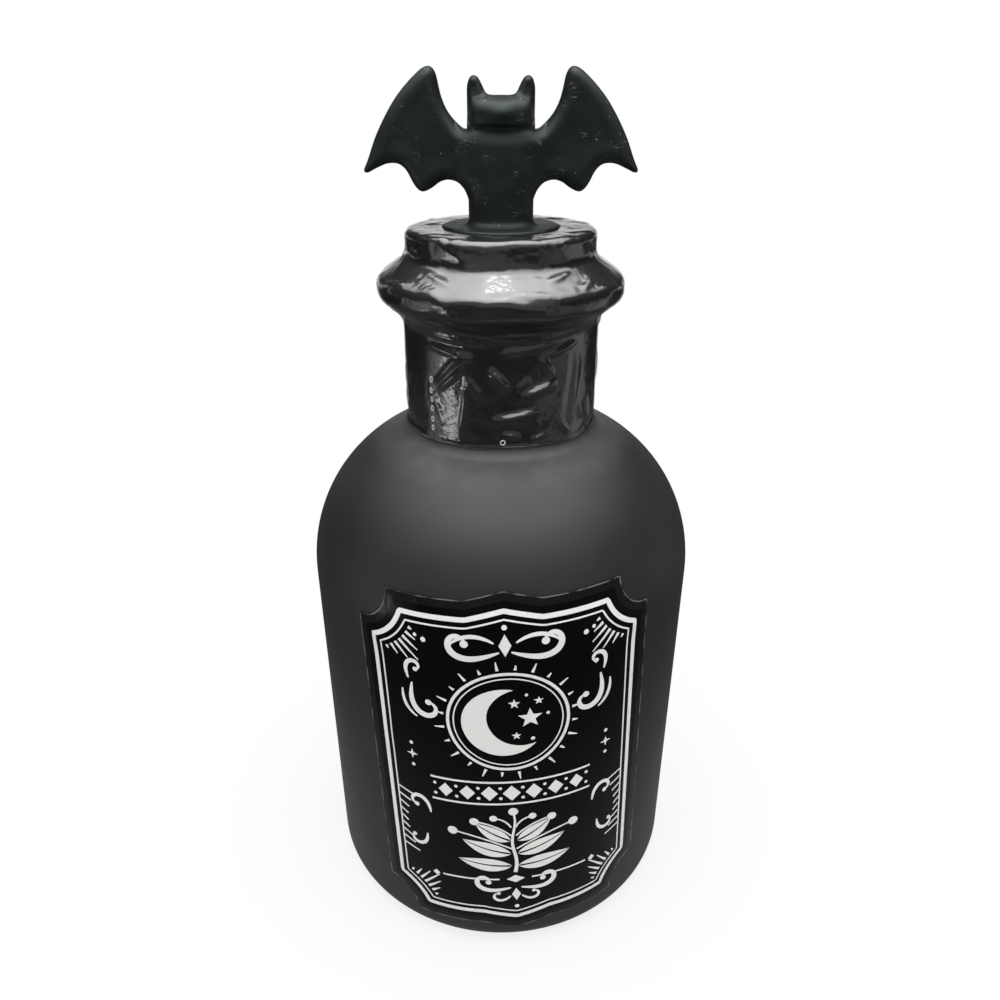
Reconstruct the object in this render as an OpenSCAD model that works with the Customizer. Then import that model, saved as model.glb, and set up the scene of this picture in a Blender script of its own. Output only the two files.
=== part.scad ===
// Matte black apothecary bottle with a bat-topped stopper, a shrink band over its lip and
// a die-cut label on its front. Millimetres, +Z up, the label and the bat face -Y, and the
// origin is on the surface that the bottle stands on.

/* [Body] */
// Outer radius of the round body
body_r = 40; // [37:0.5:44]
// Thickness of the glass wall
wall = 3; // [2:0.25:4.5]
// Radius of the rounded corner at the foot
foot_r = 5; // [3:0.25:8]
// Height where the straight side ends and the shoulder begins
shoulder_z = 78.4; // [70:0.2:96]
// Radius of the shoulder curve
shoulder_r = 32; // [28:0.5:35]
// Thickness of the glass floor
floor_t = 5; // [3:0.25:8]
// Height of the hollow under the floor
punt_h = 3; // [1.5:0.25:5]
// Width of the flat ring that the bottle stands on
bearing_w = 3; // [2:0.25:5]

/* [Neck and lip] */
// Outer radius of the neck
neck_r = 18.6; // [17.4:0.1:20]
// Radius of the hollow fillet between shoulder and neck
neck_fillet = 3.6; // [2:0.1:6]
// Length of the straight neck between the fillet and the bead
neck_l = 20; // [16:0.5:28]
// Thickness of the glass in the lower neck
neck_wall = 4; // [3:0.25:6]
// Outer radius of the bead
bead_r = 23; // [21:0.25:26]
// Height of the slope under the bead
bead_under_h = 3.7; // [2.5:0.1:6]
// Height of the upright band round the bead
bead_band_h = 3; // [1:0.1:6]
// Height of the slope above the bead
bead_upper_h = 3.9; // [2.5:0.1:6]
// Outer radius of the lip
lip_r = 17.5; // [15:0.1:19]
// Height of the lip above the bead
lip_h = 4.6; // [3.5:0.1:8]
// Radius of the bored mouth
bore_r = 10.75; // [9:0.05:12]
// Depth of the bored mouth
bore_l = 24; // [21.5:0.5:30]

/* [Stopper] */
// Clearance between the mouth and the flange
flange_gap = 0.15; // [0.1:0.05:0.4]
// Thickness of the flange under the bat
flange_t = 2.6; // [1.6:0.1:4]
// Height of the flange's face above the lip
flange_proud = 0.6; // [0.4:0.1:2]
// Clearance between the mouth and the plug's sealing ribs
rib_gap = 0.1; // [0.05:0.05:0.3]
// How far the sealing ribs stand out from the plug
rib_h = 0.6; // [0.3:0.1:1]
// Number of sealing ribs
rib_count = 3; // [2:1:4]
// Length of the plug
plug_l = 20; // [14:0.5:20.5]
// How much the plug's radius shrinks towards its lower end
plug_taper = 0.5; // [0:0.1:1.5]
// Radius of the stud that joins the bat to the plug
stud_r = 2; // [1.5:0.1:2.6]
// Length of the stud
stud_l = 18; // [12:0.5:22]
// Clearance between the stud and its holes
stud_gap = 0.05; // [0.02:0.01:0.1]

/* [Bat figure] */
// Width across the wing tips
bat_span = 49; // [44:0.5:56]
// Height of the wing tops above the flange's face
bat_h = 25.7; // [23:0.1:30]
// Width of the stem and the head
stem_w = 11.8; // [10:0.1:13]
// Thickness of the body from front to back
body_t = 9; // [7.5:0.1:11]
// Thickness of the head from front to back
head_t = 10; // [8:0.1:12]
// How far the muzzle stands out of the face
muzzle_t = 0.8; // [0.3:0.1:1.2]
// Thickness of the wings at their roots
wing_t = 4.8; // [3.6:0.1:6]
// Thickness of the ears
ear_t = 3.6; // [2.4:0.1:4.2]
// Depth of the dish in the front of each ear
ear_dish = 0.5; // [0.2:0.1:0.8]
// Radius of the fillet where the stem meets the flange
stem_fillet = 1.2; // [0.6:0.1:2]

/* [Shrink band] */
// Thickness of the shrunk film
film_t = 0.15; // [0.1:0.05:0.4]
// Clearance between the film and the glass
film_gap = 0.03; // [0.02:0.01:0.1]
// Clearance between the stopper and the film's hole
hole_gap = 0.3; // [0.15:0.05:0.6]
// How far round the neck fillet the film reaches, in degrees
film_reach = 22; // [10:1:30]
// Direction of the row of tear holes, in degrees from the front to the left
tear_side = 46; // [20:1:80]
// Spacing of the tear holes
tear_pitch = 1.9; // [1.5:0.1:3]
// Radius of a tear hole
tear_r = 0.35; // [0.2:0.05:0.5]

/* [Label] */
// Width of the label, measured round the bottle
label_w = 59; // [50:1:70]
// Height of the label, measured along the glass
label_h = 86; // [70:1:88]
// Height of the label's middle, measured along the glass
label_z = 48.5; // [47:0.5:52]
// How far the label's middle sits to the right, measured round the bottle
label_side = 2; // [-5:0.5:5]
// Turn of the label, with its right side up, in degrees
label_tilt = 2.3; // [0:0.1:3]
// Radius of the hollow corners
label_notch = 7; // [4:0.5:10]
// Thickness of the label film
label_t = 0.15; // [0.1:0.05:0.3]
// Clearance between the label film and the glass
label_gap = 0.03; // [0.02:0.01:0.1]

/* [Hidden] */

round_steps = 180;
arc_steps = 12;
shoulder_c = [body_r - shoulder_r, shoulder_z];
fillet_x = neck_r + neck_fillet;
meet_a = acos((fillet_x - shoulder_c.x)/(shoulder_r + neck_fillet));
fillet_z = shoulder_z + (shoulder_r + neck_fillet)*sin(meet_a);
neck_top = fillet_z + neck_l;
lip_base = neck_top + bead_under_h + bead_band_h + bead_upper_h;
top_z = lip_base + lip_h;
bead_round = 2.2;
lip_round = 1.1;
glass_crease = 1.2;
film_crease = 3.6;
mouth_ease = 0.8;
inner_foot_r = 7;
neck_in_r = neck_r - neck_wall;
bore_z = top_z - bore_l;
flange_r = bore_r - flange_gap;
face_z = top_z + flange_proud;
plug_top = face_z - flange_t;
plug_r = bore_r - rib_gap - rib_h;
stud_z = plug_top - stud_l/2;
film_hole_r = bore_r + hole_gap - rib_gap;

// Points along an arc about centre c, from angle a to angle b
function arc(c, r, a, b, n = arc_steps) =
    [for (i = [0:n]) c + r*[cos(a + (b - a)*i/n), sin(a + (b - a)*i/n)]];

function unit(v) = v/norm(v);
function turn(a) = a > 180 ? a - 360 : a < -180 ? a + 360 : a;

// An arc that rounds the corner p between its neighbours a and b
function corner(a, p, b, r) =
    let (u = unit(a - p), v = unit(b - p), half = acos(u*v)/2,
         c = p + unit(u + v)*r/sin(half), reach = r/tan(half),
         s = p + u*reach - c, e = p + v*reach - c,
         a0 = atan2(s.y, s.x), sweep = turn(atan2(e.y, e.x) - a0))
    arc(c, r, a0, a0 + sweep, 6);

// A line through [across, up, corner radius] points, with its corners rounded
function rounded(p) =
    [for (i = [0:len(p) - 1])
        let (q = [p[i].x, p[i].y])
        each (i == 0 || i == len(p) - 1 || p[i].z == 0) ? [q]
            : corner([p[i - 1].x, p[i - 1].y], q, [p[i + 1].x, p[i + 1].y], p[i].z)];

function reversed(p) = [for (i = [len(p) - 1:-1:0]) p[i]];

// Foot, side and shoulder of the glass, g outside it, up to a turn of the neck fillet
function body_line(g, end_a) = concat(
    arc([body_r - foot_r, foot_r], foot_r + g, -90, 0),
    arc(shoulder_c, shoulder_r + g, 0, meet_a, 2*arc_steps),
    arc([fillet_x, fillet_z], neck_fillet - g, 180 + meet_a, 180 + end_a));

// Neck, bead and lip, g outside the glass, with its hollow creases rounded to a radius
function crown_line(g, crease) = rounded([
    [neck_r + g, fillet_z, 0],
    [neck_r + g, neck_top, crease],
    [bead_r + g, neck_top + bead_under_h, bead_round + g],
    [bead_r + g, lip_base - bead_upper_h, bead_round + g],
    [lip_r + g, lip_base, crease],
    [lip_r + g, top_z + g, lip_round + g],
    [bore_r + mouth_ease, top_z + g, 0]]);

// Inside of the glass, from the middle of the floor up to the mouth
function inner_line() = concat(
    rounded([
        [0, punt_h + floor_t, 0],
        [body_r - wall, floor_t, inner_foot_r],
        [body_r - wall, shoulder_z, 0]]),
    arc(shoulder_c, shoulder_r - wall, 0,
        acos((neck_in_r - shoulder_c.x)/(shoulder_r - wall)), 2*arc_steps),
    rounded([
        [neck_in_r, fillet_z - 1, 0],
        [neck_in_r, bore_z - (neck_in_r - bore_r)*1.3, 3],
        [bore_r, bore_z, 3],
        [bore_r, top_z - mouth_ease, 0]]),
    arc([bore_r + mouth_ease, top_z - mouth_ease], mouth_ease, 180, 90, 4));

// The hollow under the foot, as an arc from its middle to the ring that bears the bottle
function punt_line() =
    let (edge = body_r - foot_r - bearing_w, r = (edge*edge + punt_h*punt_h)/(2*punt_h))
    arc([0, punt_h - r], r, 90, 90 - asin(edge/r));

module bottle() {
    color("#1b1c1d")
    rotate_extrude($fn = round_steps)
    polygon(concat(punt_line(), body_line(0, 0), crown_line(0, glass_crease),
                   reversed(inner_line())));
}

// One face of the shrink film, g outside the glass, from its lower edge to its hole
function film_line(g) = concat(
    arc([fillet_x, fillet_z], neck_fillet - g, 180 + film_reach, 180, 5),
    crown_line(g, film_crease),
    [[film_hole_r, top_z + g]]);

module shrink_band() {
    tear_count = floor((neck_l - 2)/tear_pitch);
    color("#c9ced2", 0.45)
    difference() {
        rotate_extrude($fn = round_steps)
        polygon(concat(film_line(film_gap + film_t), reversed(film_line(film_gap))));

        for (i = [0:tear_count])
            rotate([0, 0, -90 - tear_side])
            translate([neck_r - 1, 0, fillet_z + 1 + i*tear_pitch])
            rotate([0, 90, 0])
            cylinder(r = tear_r, h = 3, $fn = 24);
    }
}

// Half of the label's outline about its own middle, from top to bottom: a tablet with
// hollow corners and a small point at the middle of its top and its foot
function label_half(w, h, n) = concat(
    [[0, h/2], [n, h/2 - n/4]],
    arc([w/2, h/2 - n/4], n, 180, 270, 8),
    [for (k = [-5:5]) [w/2, -k*(h/2 - 1.25*n)/6]],
    arc([w/2, n/4 - h/2], n, 90, 180, 8),
    [[n, n/4 - h/2], [0, -h/2]]);

// Splits each side of a closed outline, so that it bends with the glass
function split(p, n) = [for (i = [0:len(p) - 1], k = [0:n - 1]) p[i] + (p[(i + 1)%len(p)] - p[i])*k/n];

// Height on the glass of a point a distance up along it
function rise(m) = m < shoulder_z ? m
    : shoulder_z + shoulder_r*sin((m - shoulder_z)/shoulder_r*180/PI);

// Where a point of the flat label lies, seen from the front, once it is wrapped
function wrapped(q) =
    let (s = label_side + q.x*cos(label_tilt) - q.y*sin(label_tilt),
         m = label_z + q.x*sin(label_tilt) + q.y*cos(label_tilt))
    [body_r*sin(s/body_r*180/PI), rise(m)];

module label_film() {
    half = label_half(label_w, label_h, label_notch);
    outline = split(concat(half, [for (q = reversed(half)) if (q.x > 0) [-q.x, q.y]]), 2);
    color("#0c0c0d")
    intersection() {
        rotate_extrude($fn = round_steps)
        polygon(concat(body_line(label_gap + label_t, meet_a - 1),
                       reversed(body_line(label_gap, meet_a - 1))));

        rotate([90, 0, 0])
        linear_extrude(height = 2*body_r)
        polygon([for (q = outline) wrapped(q)]);
    }
}

// Sizes that the bat's outlines were drawn at, which its driving sizes then stretch
drawn_span = 49;
drawn_h = 25.7;
drawn_stem = 11.8;

// Top of half the head with its ear: across from the middle, up from the flange's face
head_top = [[0, 21.3], [1.6, 21.3], [2.6, 21.6], [3.2, 22.7], [3.9, 23.9], [4.7, 24.3],
            [5.4, 23.9], [5.8, 22.9], [5.9, 22]];
// Top of a wing, from the notch beside the head to the tip
wing_top = [[5.9, 15.9], [6.8, 16.1], [8, 17.2], [9.3, 18.8], [10.2, 20.7], [10.7, 22.6],
            [11.1, 24.4], [11.7, 25.4], [12.6, 25.7], [13.9, 25.1], [16.1, 23.2],
            [18.3, 20.8], [20.3, 17.9], [22.2, 14.5], [23.6, 11.2], [24.5, 9.4]];
// Scalloped foot of a wing, from the stem to the tip
wing_foot = [[5.9, 4.2], [6.2, 5.1], [6.8, 6.2], [7.9, 7.2], [9.5, 7.6], [11, 7.2],
             [12.5, 6.2], [14, 5.6], [15, 6], [15.9, 7.2], [16.9, 9.1], [18.2, 10.2],
             [20.2, 10.3], [22.3, 9.5], [23.8, 8.8], [24.5, 8.9]];
head_z = 21.4*bat_h/drawn_h;
chin_z = 16.2*bat_h/drawn_h;
brow_up = 2.2;

// A smooth curve through points, with n steps between each two
function curve(p, n) =
    let (m = len(p) - 1)
    concat([for (i = [0:m - 1], k = [0:n - 1])
        let (a = p[max(i - 1, 0)], b = p[i], c = p[i + 1], d = p[min(i + 2, m)], t = k/n)
        (2*b + (c - a)*t + (2*a - 5*b + 4*c - d)*t*t + (3*b - a - 3*c + d)*t*t*t)/2], [p[m]]);

// Stretches drawn points to the driving sizes, about the stem's side
function stretched(p) =
    let (root = stem_w/2, drawn_root = drawn_stem/2)
    [for (q = p) [q.x <= drawn_root ? q.x*root/drawn_root
        : root + (q.x - drawn_root)*(bat_span/2 - root)/(drawn_span/2 - drawn_root),
        q.y*bat_h/drawn_h]];

function mix(a, b, t) = a + (b - a)*t;
function ease(a, b, x) = let (t = min(max((x - a)/(b - a), 0), 1)) t*t*(3 - 2*t);
function edge(d, r) = d >= r ? 1 : sqrt(max(0, 1 - pow(1 - max(d, 0)/r, 2)));
// Distance of a point from the line between a and b
function to_side(q, a, b) =
    let (t = (q - a)*(b - a)/((b - a)*(b - a)))
    norm(q - mix(a, b, min(max(t, 0), 1)));

// Half the bat's thickness at a place x across and h up, d inside its outline: the wing and
// the ear are rounded slabs, the body is round in plan, and the head is a rounded block
// that slopes back above its brow, blended by a power mean
function half_t(x, h, d) =
    let (root = stem_w/2, middle = x < root ? 1 : 0, brow = chin_z + brow_up,
         swell = 0.5*exp(-(pow(x - root - 1, 2)/8 + pow(h - chin_z + 2.6, 2)/6)),
         wing = (mix(wing_t/2, wing_t/3, ease(root, bat_span/2, x)) + swell)
                *edge(d, 2.2)*(1 - 0.1*ease(1.6, 4.5, d))
                *(1 - middle*ease(chin_z - 1.2, chin_z + 0.8, h)),
         trunk = body_t/2*sqrt(max(0, 1 - pow(x/root, 2)))
                 *mix(1, 0.78, ease(chin_z - 3, chin_z, h))*(1 - ease(chin_z + 0.4, chin_z + 2, h)),
         away = h > brow ? 0.75*pow((h - brow)/(head_z - brow), 2.2)
                         : 0.35*pow((brow - h)/brow_up, 2.2),
         head = middle*head_t/2*sqrt(max(0.1, 1 - 0.85*pow(x/root, 3) - away))
                *edge(min(d, max(head_z - h, 0)), 1.5)*ease(chin_z - 0.5, chin_z + 0.7, h),
         ear = middle*ear_t/2*edge(d, 1.4)*ease(head_z - 3.2, head_z - 0.4, h))
    pow(pow(wing, 4) + pow(trunk, 4) + pow(head, 4) + pow(ear, 4), 1/4);

// How far the front of the face stands out: a soft hump for the muzzle over the chin, and
// a shallow dish in each ear, both fading at the outline
function face(x, h, d) =
    edge(d, 1.4)*(
        muzzle_t*exp(-(pow(x/2.1, 2) + pow((h - chin_z - brow_up)/1.6, 2)))
            *ease(chin_z, chin_z + 1, h)
        - ear_dish*exp(-(pow((abs(x) - 0.4*stem_w)/0.75, 2) + pow((h - head_z - 1.1)/1.1, 2))));

// The bat as one closed surface over upright columns of points, which stand closer at the
// steep inner edge of a wing. A column in the stem and the head is stacked from three
// stretches, a column in a wing has the middle one alone, and front and back share the
// points on the outline.
module bat_body() {
    root = stem_w/2;
    top_h = stretched(curve(head_top, 4));
    top_w = stretched(curve(wing_top, 4));
    foot_w = stretched(curve(wing_foot, 4));
    rim = concat(top_h, top_w, reversed(foot_w), [[root, 0]]);
    joint_lo = foot_w[0].y;
    joint_hi = top_w[0].y;
    inner_n = 12;
    outer_n = 40;
    low_n = 7;
    mid_n = 15;
    high_n = 14;
    sunk = 0.4;
    steep = stretched([[9.4, 0], [12.8, 0]]);
    places = [[0, root], [0.24, steep[0].x], [0.56, steep[1].x], [1, bat_span/2]];
    half_x = concat([for (i = [0:inner_n]) root*sin(90*i/inner_n)],
                    [for (i = [1:outer_n]) lookup(i/outer_n, places)]);
    last = len(half_x) - 1;
    column_x = concat([for (i = [last:-1:1]) -half_x[i]], half_x);

    function is_inner(x) = abs(x) <= root + 0.001;
    function heights(x) = is_inner(x)
        ? concat([-sunk], [for (k = [1:low_n - 1]) mix(0, joint_lo, pow((k - 1)/(low_n - 1), 1.5))],
                 [for (k = [0:mid_n]) mix(joint_lo, joint_hi, (1 - cos(180*k/mid_n))/2)],
                 [for (k = [1:high_n]) mix(joint_hi, lookup(abs(x), top_h), sin(90*k/high_n))])
        : [for (k = [0:mid_n])
            mix(lookup(abs(x), foot_w), lookup(abs(x), top_w), (1 - cos(180*k/mid_n))/2)];
    function on_rim(x, k, n) = abs(x) > bat_span/2 - 0.001 || k == n
        || (is_inner(x) ? abs(x) > root - 0.001 && (k <= low_n || k >= low_n + mid_n) : k == 0);
    function flare(h) = h >= stem_fillet ? 0
        : stem_fillet - sqrt(pow(stem_fillet, 2) - pow(stem_fillet - max(h, 0), 2));
    function rim_distance(q) = min([for (i = [0:len(rim) - 2]) to_side(q, rim[i], rim[i + 1])]);

    columns = [for (x = column_x) let (hs = heights(x), n = len(hs) - 1)
        [for (k = [0:n])
            let (h = hs[k], g = 1 + flare(h)/root,
                 d = on_rim(x, k, n) ? 0 : rim_distance([abs(x), h]))
            [x*g, h, d == 0 ? 0 : half_t(abs(x), h, d)*g, d == 0 ? 0 : face(x, h, d)]]];
    first = [for (i = 0, s = 0; i < len(columns); s = s + len(columns[i]), i = i + 1) s];
    total = first[len(first) - 1] + len(columns[len(columns) - 1]);
    points = concat([for (c = columns, q = c) [q.x, -q.z - q[3], q.y]],
                    [for (c = columns, q = c) [q.x, q.z, q.y]]);

    function at(c, k, back) = first[c] + k + (back && thick(c, k) ? total : 0);
    function thick(c, k) = columns[c][k].z > 0;
    function start(c) = is_inner(column_x[c]) ? 0 : -low_n;
    function tidy(f) = [for (i = [0:len(f) - 1]) if (f[i] != f[(i + 1)%len(f)]) f[i]];
    function wall_of(c, back) =
        let (both = is_inner(column_x[c]) && is_inner(column_x[c + 1]),
             from = both ? 0 : low_n, to = both ? low_n + mid_n + high_n : low_n + mid_n)
        [for (k = [from:to - 1])
            let (a = at(c, k + start(c), back), b = at(c + 1, k + start(c + 1), back),
                 d = at(c, k + 1 + start(c), back), e = at(c + 1, k + 1 + start(c + 1), back))
            each thick(c, k + start(c)) || thick(c + 1, k + 1 + start(c + 1))
                ? (back ? [[a, b, e], [a, e, d]] : [[a, e, b], [a, d, e]])
                : (back ? [[a, b, d], [b, e, d]] : [[a, d, b], [b, d, e]])];
    faces = concat(
        [for (c = [0:len(columns) - 2]) each wall_of(c, false)],
        [for (c = [0:len(columns) - 2]) each wall_of(c, true)],
        [for (c = [0:len(columns) - 2]) if (is_inner(column_x[c]) && is_inner(column_x[c + 1]))
            tidy([at(c, 0, false), at(c + 1, 0, false), at(c + 1, 0, true), at(c, 0, true)])]);
    polyhedron(points, [for (f = faces) if (len(tidy(f)) > 2) tidy(f)]);
}

module bat_figure() {
    color("#222423")
    difference() {
        union() {
            translate([0, 0, face_z])
            bat_body();

            rotate_extrude($fn = 120)
            polygon(rounded([
                [0, face_z, 0],
                [flange_r, face_z, 0.5],
                [flange_r, plug_top, 0],
                [0, plug_top, 0]]));
        }

        translate([0, 0, plug_top - 1])
        cylinder(r = stud_r + stud_gap, h = stud_l/2 + stud_gap + 1, $fn = 48);
    }
}

module stopper_stud() {
    ease_l = 0.4;
    color("#a8abad")
    rotate_extrude($fn = 48)
    polygon([
        [0, stud_z],
        [stud_r - ease_l, stud_z],
        [stud_r, stud_z + ease_l],
        [stud_r, stud_z + stud_l - ease_l],
        [stud_r - ease_l, stud_z + stud_l],
        [0, stud_z + stud_l]]);
}

module stopper_plug() {
    plug_z = plug_top - plug_l;
    rib_step = (plug_l - 4)/rib_count;
    color("#2b2a29")
    difference() {
        rotate_extrude($fn = 120)
        union() {
            polygon(rounded([
                [0, plug_z, 0],
                [plug_r - plug_taper, plug_z, 1.2],
                [plug_r, plug_top, 0],
                [0, plug_top, 0]]));

            for (i = [0:rib_count - 1])
                translate([plug_r - rib_h, plug_top - 3 - i*rib_step])
                circle(r = 2*rib_h, $fn = 32);
        }

        translate([0, 0, stud_z - stud_gap])
        cylinder(r = stud_r + stud_gap, h = stud_l/2 + stud_gap + 1, $fn = 48);
    }
}

bottle();
shrink_band();
label_film();
bat_figure();
stopper_stud();
stopper_plug();
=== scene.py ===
"""Looks for a matte black apothecary bottle with a bat-topped stopper.

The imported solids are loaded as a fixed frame. Each operator below makes one piece, or a
group of like pieces, from surfaces worked out with numpy, and gives it a procedural finish.
Shapes are worked out in millimetres and become metres when they are put into a mesh.
"""

import math

import bpy
import numpy as np
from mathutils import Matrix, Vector


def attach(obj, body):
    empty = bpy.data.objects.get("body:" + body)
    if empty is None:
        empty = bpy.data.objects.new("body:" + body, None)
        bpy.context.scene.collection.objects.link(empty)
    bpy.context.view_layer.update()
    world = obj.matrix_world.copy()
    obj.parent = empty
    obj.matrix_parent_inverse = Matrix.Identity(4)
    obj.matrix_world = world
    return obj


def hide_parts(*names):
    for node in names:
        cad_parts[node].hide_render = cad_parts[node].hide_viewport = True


bl_info = {
    "name": "Apothecary bottle with a bat stopper",
    "version": (1, 0, 0),
    "blender": (4, 5, 0),
    "location": "3D View > Sidebar > Bottle",
    "description": "Builds the coated bottle, its films, its label and its bat stopper",
    "category": "Add Mesh",
}

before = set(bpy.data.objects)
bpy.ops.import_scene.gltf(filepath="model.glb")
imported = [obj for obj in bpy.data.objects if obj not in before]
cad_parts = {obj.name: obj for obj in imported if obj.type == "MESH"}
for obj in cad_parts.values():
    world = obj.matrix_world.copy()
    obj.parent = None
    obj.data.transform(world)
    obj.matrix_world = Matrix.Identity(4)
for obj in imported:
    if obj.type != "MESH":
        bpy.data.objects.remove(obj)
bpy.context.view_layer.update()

MM = 0.001
PHOTO_PX = 1000

# Sizes of the modelled solids in millimetres, by the names that their source gives them
BODY_R = 40.0
WALL = 3.0
FOOT_R = 5.0
SHOULDER_Z = 78.4
SHOULDER_R = 32.0
FLOOR_T = 5.0
PUNT_H = 3.0
BEARING_W = 3.0
NECK_R = 18.6
NECK_FILLET = 3.6
NECK_L = 20.0
NECK_WALL = 4.0
BEAD_R = 23.0
BEAD_UNDER_H = 3.7
BEAD_BAND_H = 3.0
BEAD_UPPER_H = 3.9
LIP_R = 17.5
LIP_H = 4.6
BORE_R = 10.75
BORE_L = 24.0
BEAD_ROUND = 2.2
LIP_ROUND = 1.1
GLASS_CREASE = 1.2
FILM_CREASE = 3.6
MOUTH_EASE = 0.8
FILM_GAP = 0.03
FILM_HOLE_R = 10.95
FILM_REACH = 22.0
LABEL_GAP = 0.03
FLANGE_R = 10.6
FLANGE_T = 2.6
FLANGE_PROUD = 0.6

SHOULDER_X = BODY_R - SHOULDER_R
FILLET_X = NECK_R + NECK_FILLET
MEET_A = math.degrees(math.acos((FILLET_X - SHOULDER_X)/(SHOULDER_R + NECK_FILLET)))
FILLET_Z = SHOULDER_Z + (SHOULDER_R + NECK_FILLET)*math.sin(math.radians(MEET_A))
NECK_TOP = FILLET_Z + NECK_L
LIP_BASE = NECK_TOP + BEAD_UNDER_H + BEAD_BAND_H + BEAD_UPPER_H
TOP_Z = LIP_BASE + LIP_H
FACE_Z = TOP_Z + FLANGE_PROUD


# Settings: sizes, colours and stage


class BottleSizes(bpy.types.PropertyGroup):
    """Sizes of the films, the print and the bat, which a user would change first."""

    film_t: bpy.props.FloatProperty(
        name="Film thickness", description="Thickness of the shrink film",
        default=0.00015, unit="LENGTH", precision=5)
    crease_h: bpy.props.FloatProperty(
        name="Crease height", description="Height of the strongest crease in the shrink film",
        default=0.00042, unit="LENGTH", precision=5)
    label_w: bpy.props.FloatProperty(
        name="Label width", description="Width of the label, measured round the bottle",
        default=0.059, unit="LENGTH")
    label_h: bpy.props.FloatProperty(
        name="Label height", description="Height of the label, measured along the glass",
        default=0.086, unit="LENGTH")
    label_z: bpy.props.FloatProperty(
        name="Label place", description="Height of the label's middle, along the glass",
        default=0.0485, unit="LENGTH")
    label_side: bpy.props.FloatProperty(
        name="Label offset", description="How far the label's middle sits to the right",
        default=0.002, unit="LENGTH")
    label_tilt: bpy.props.FloatProperty(
        name="Label turn", description="Turn of the label, with its right side up",
        default=math.radians(2.3), subtype="ANGLE", unit="ROTATION")
    bat_span: bpy.props.FloatProperty(
        name="Bat span", description="Width across the bat's wing tips",
        default=0.049, unit="LENGTH")
    bat_h: bpy.props.FloatProperty(
        name="Bat height", description="Height of the wing tops above the flange",
        default=0.0257, unit="LENGTH")
    stem_w: bpy.props.FloatProperty(
        name="Stem width", description="Width of the bat's stem and head",
        default=0.0118, unit="LENGTH")


class BottleFinishes(bpy.types.PropertyGroup):
    """Colours of the finishes."""

    coat: bpy.props.FloatVectorProperty(
        name="Coating", description="Matte coating on the glass",
        subtype="COLOR", size=4, default=(0.0105, 0.0114, 0.0112, 1.0), min=0, max=1)
    film: bpy.props.FloatVectorProperty(
        name="Film gloss", description="Tint of what the clear film reflects",
        subtype="COLOR", size=4, default=(0.94, 0.95, 0.93, 1.0), min=0, max=1)
    ground: bpy.props.FloatVectorProperty(
        name="Label black", description="Black ground of the label's print",
        subtype="COLOR", size=4, default=(0.0022, 0.0022, 0.0023, 1.0), min=0, max=1)
    ink: bpy.props.FloatVectorProperty(
        name="Label white", description="White ink of the label's print",
        subtype="COLOR", size=4, default=(0.66, 0.66, 0.645, 1.0), min=0, max=1)
    resin: bpy.props.FloatVectorProperty(
        name="Bat resin", description="Moulded black of the bat",
        subtype="COLOR", size=4, default=(0.0068, 0.0082, 0.0076, 1.0), min=0, max=1)
    rubber: bpy.props.FloatVectorProperty(
        name="Plug rubber", description="Moulded rubber of the plug",
        subtype="COLOR", size=4, default=(0.03, 0.028, 0.026, 1.0), min=0, max=1)
    steel: bpy.props.FloatVectorProperty(
        name="Stud steel", description="Drawn steel of the stud",
        subtype="COLOR", size=4, default=(0.55, 0.55, 0.54, 1.0), min=0, max=1)


class BottleStage(bpy.types.PropertyGroup):
    """Camera, lamps and floor."""

    focal_px: bpy.props.FloatProperty(
        name="Focal length in pixels", description="Focal length over a 1000 pixel frame",
        default=814.3)
    camera_back: bpy.props.FloatProperty(
        name="Camera distance", description="How far the camera stands in front of the bottle",
        default=0.15674, unit="LENGTH")
    camera_z: bpy.props.FloatProperty(
        name="Camera height", description="Height of the camera above the floor",
        default=0.16928, unit="LENGTH")
    camera_dip: bpy.props.FloatProperty(
        name="Camera dip", description="How far the camera looks down",
        default=math.radians(26.88), subtype="ANGLE", unit="ROTATION")
    key_power: bpy.props.FloatProperty(
        name="Top lamp", description="Power of the soft lamp overhead", default=16.0, unit="POWER")
    front_power: bpy.props.FloatProperty(
        name="Front lamp", description="Power of the soft lamp in front", default=1.8, unit="POWER")
    sky: bpy.props.FloatProperty(
        name="Sky", description="Strength of the even light from all round", default=0.22, min=0)
    room: bpy.props.FloatVectorProperty(
        name="Room", description="What gloss shows of the room in front and at the sides",
        subtype="COLOR", size=4, default=(0.02, 0.018, 0.015, 1.0), min=0, max=1)


# Helpers for lines, grids and meshes


def mix(a, b, t):
    """Straight blend: a + (b - a) t."""
    return a + (b - a)*t


def ease(a, b, x):
    """Smooth step from 0 at a to 1 at b: 3 t^2 - 2 t^3."""
    t = np.clip((x - a)/(b - a), 0, 1)
    return t*t*(3 - 2*t)


def edge(d, r):
    """Quarter-round rise from 0 at the edge to 1 at a depth r: sqrt(1 - (1 - d/r)^2)."""
    return np.sqrt(np.clip(1 - (1 - np.clip(d/r, 0, 1))**2, 0, 1))


def arc(centre, r, a, b, n):
    """Points on a circle about the centre, from angle a to b in degrees."""
    t = np.radians(np.linspace(a, b, n + 1))
    return np.array(centre) + r*np.stack([np.cos(t), np.sin(t)], -1)


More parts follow.
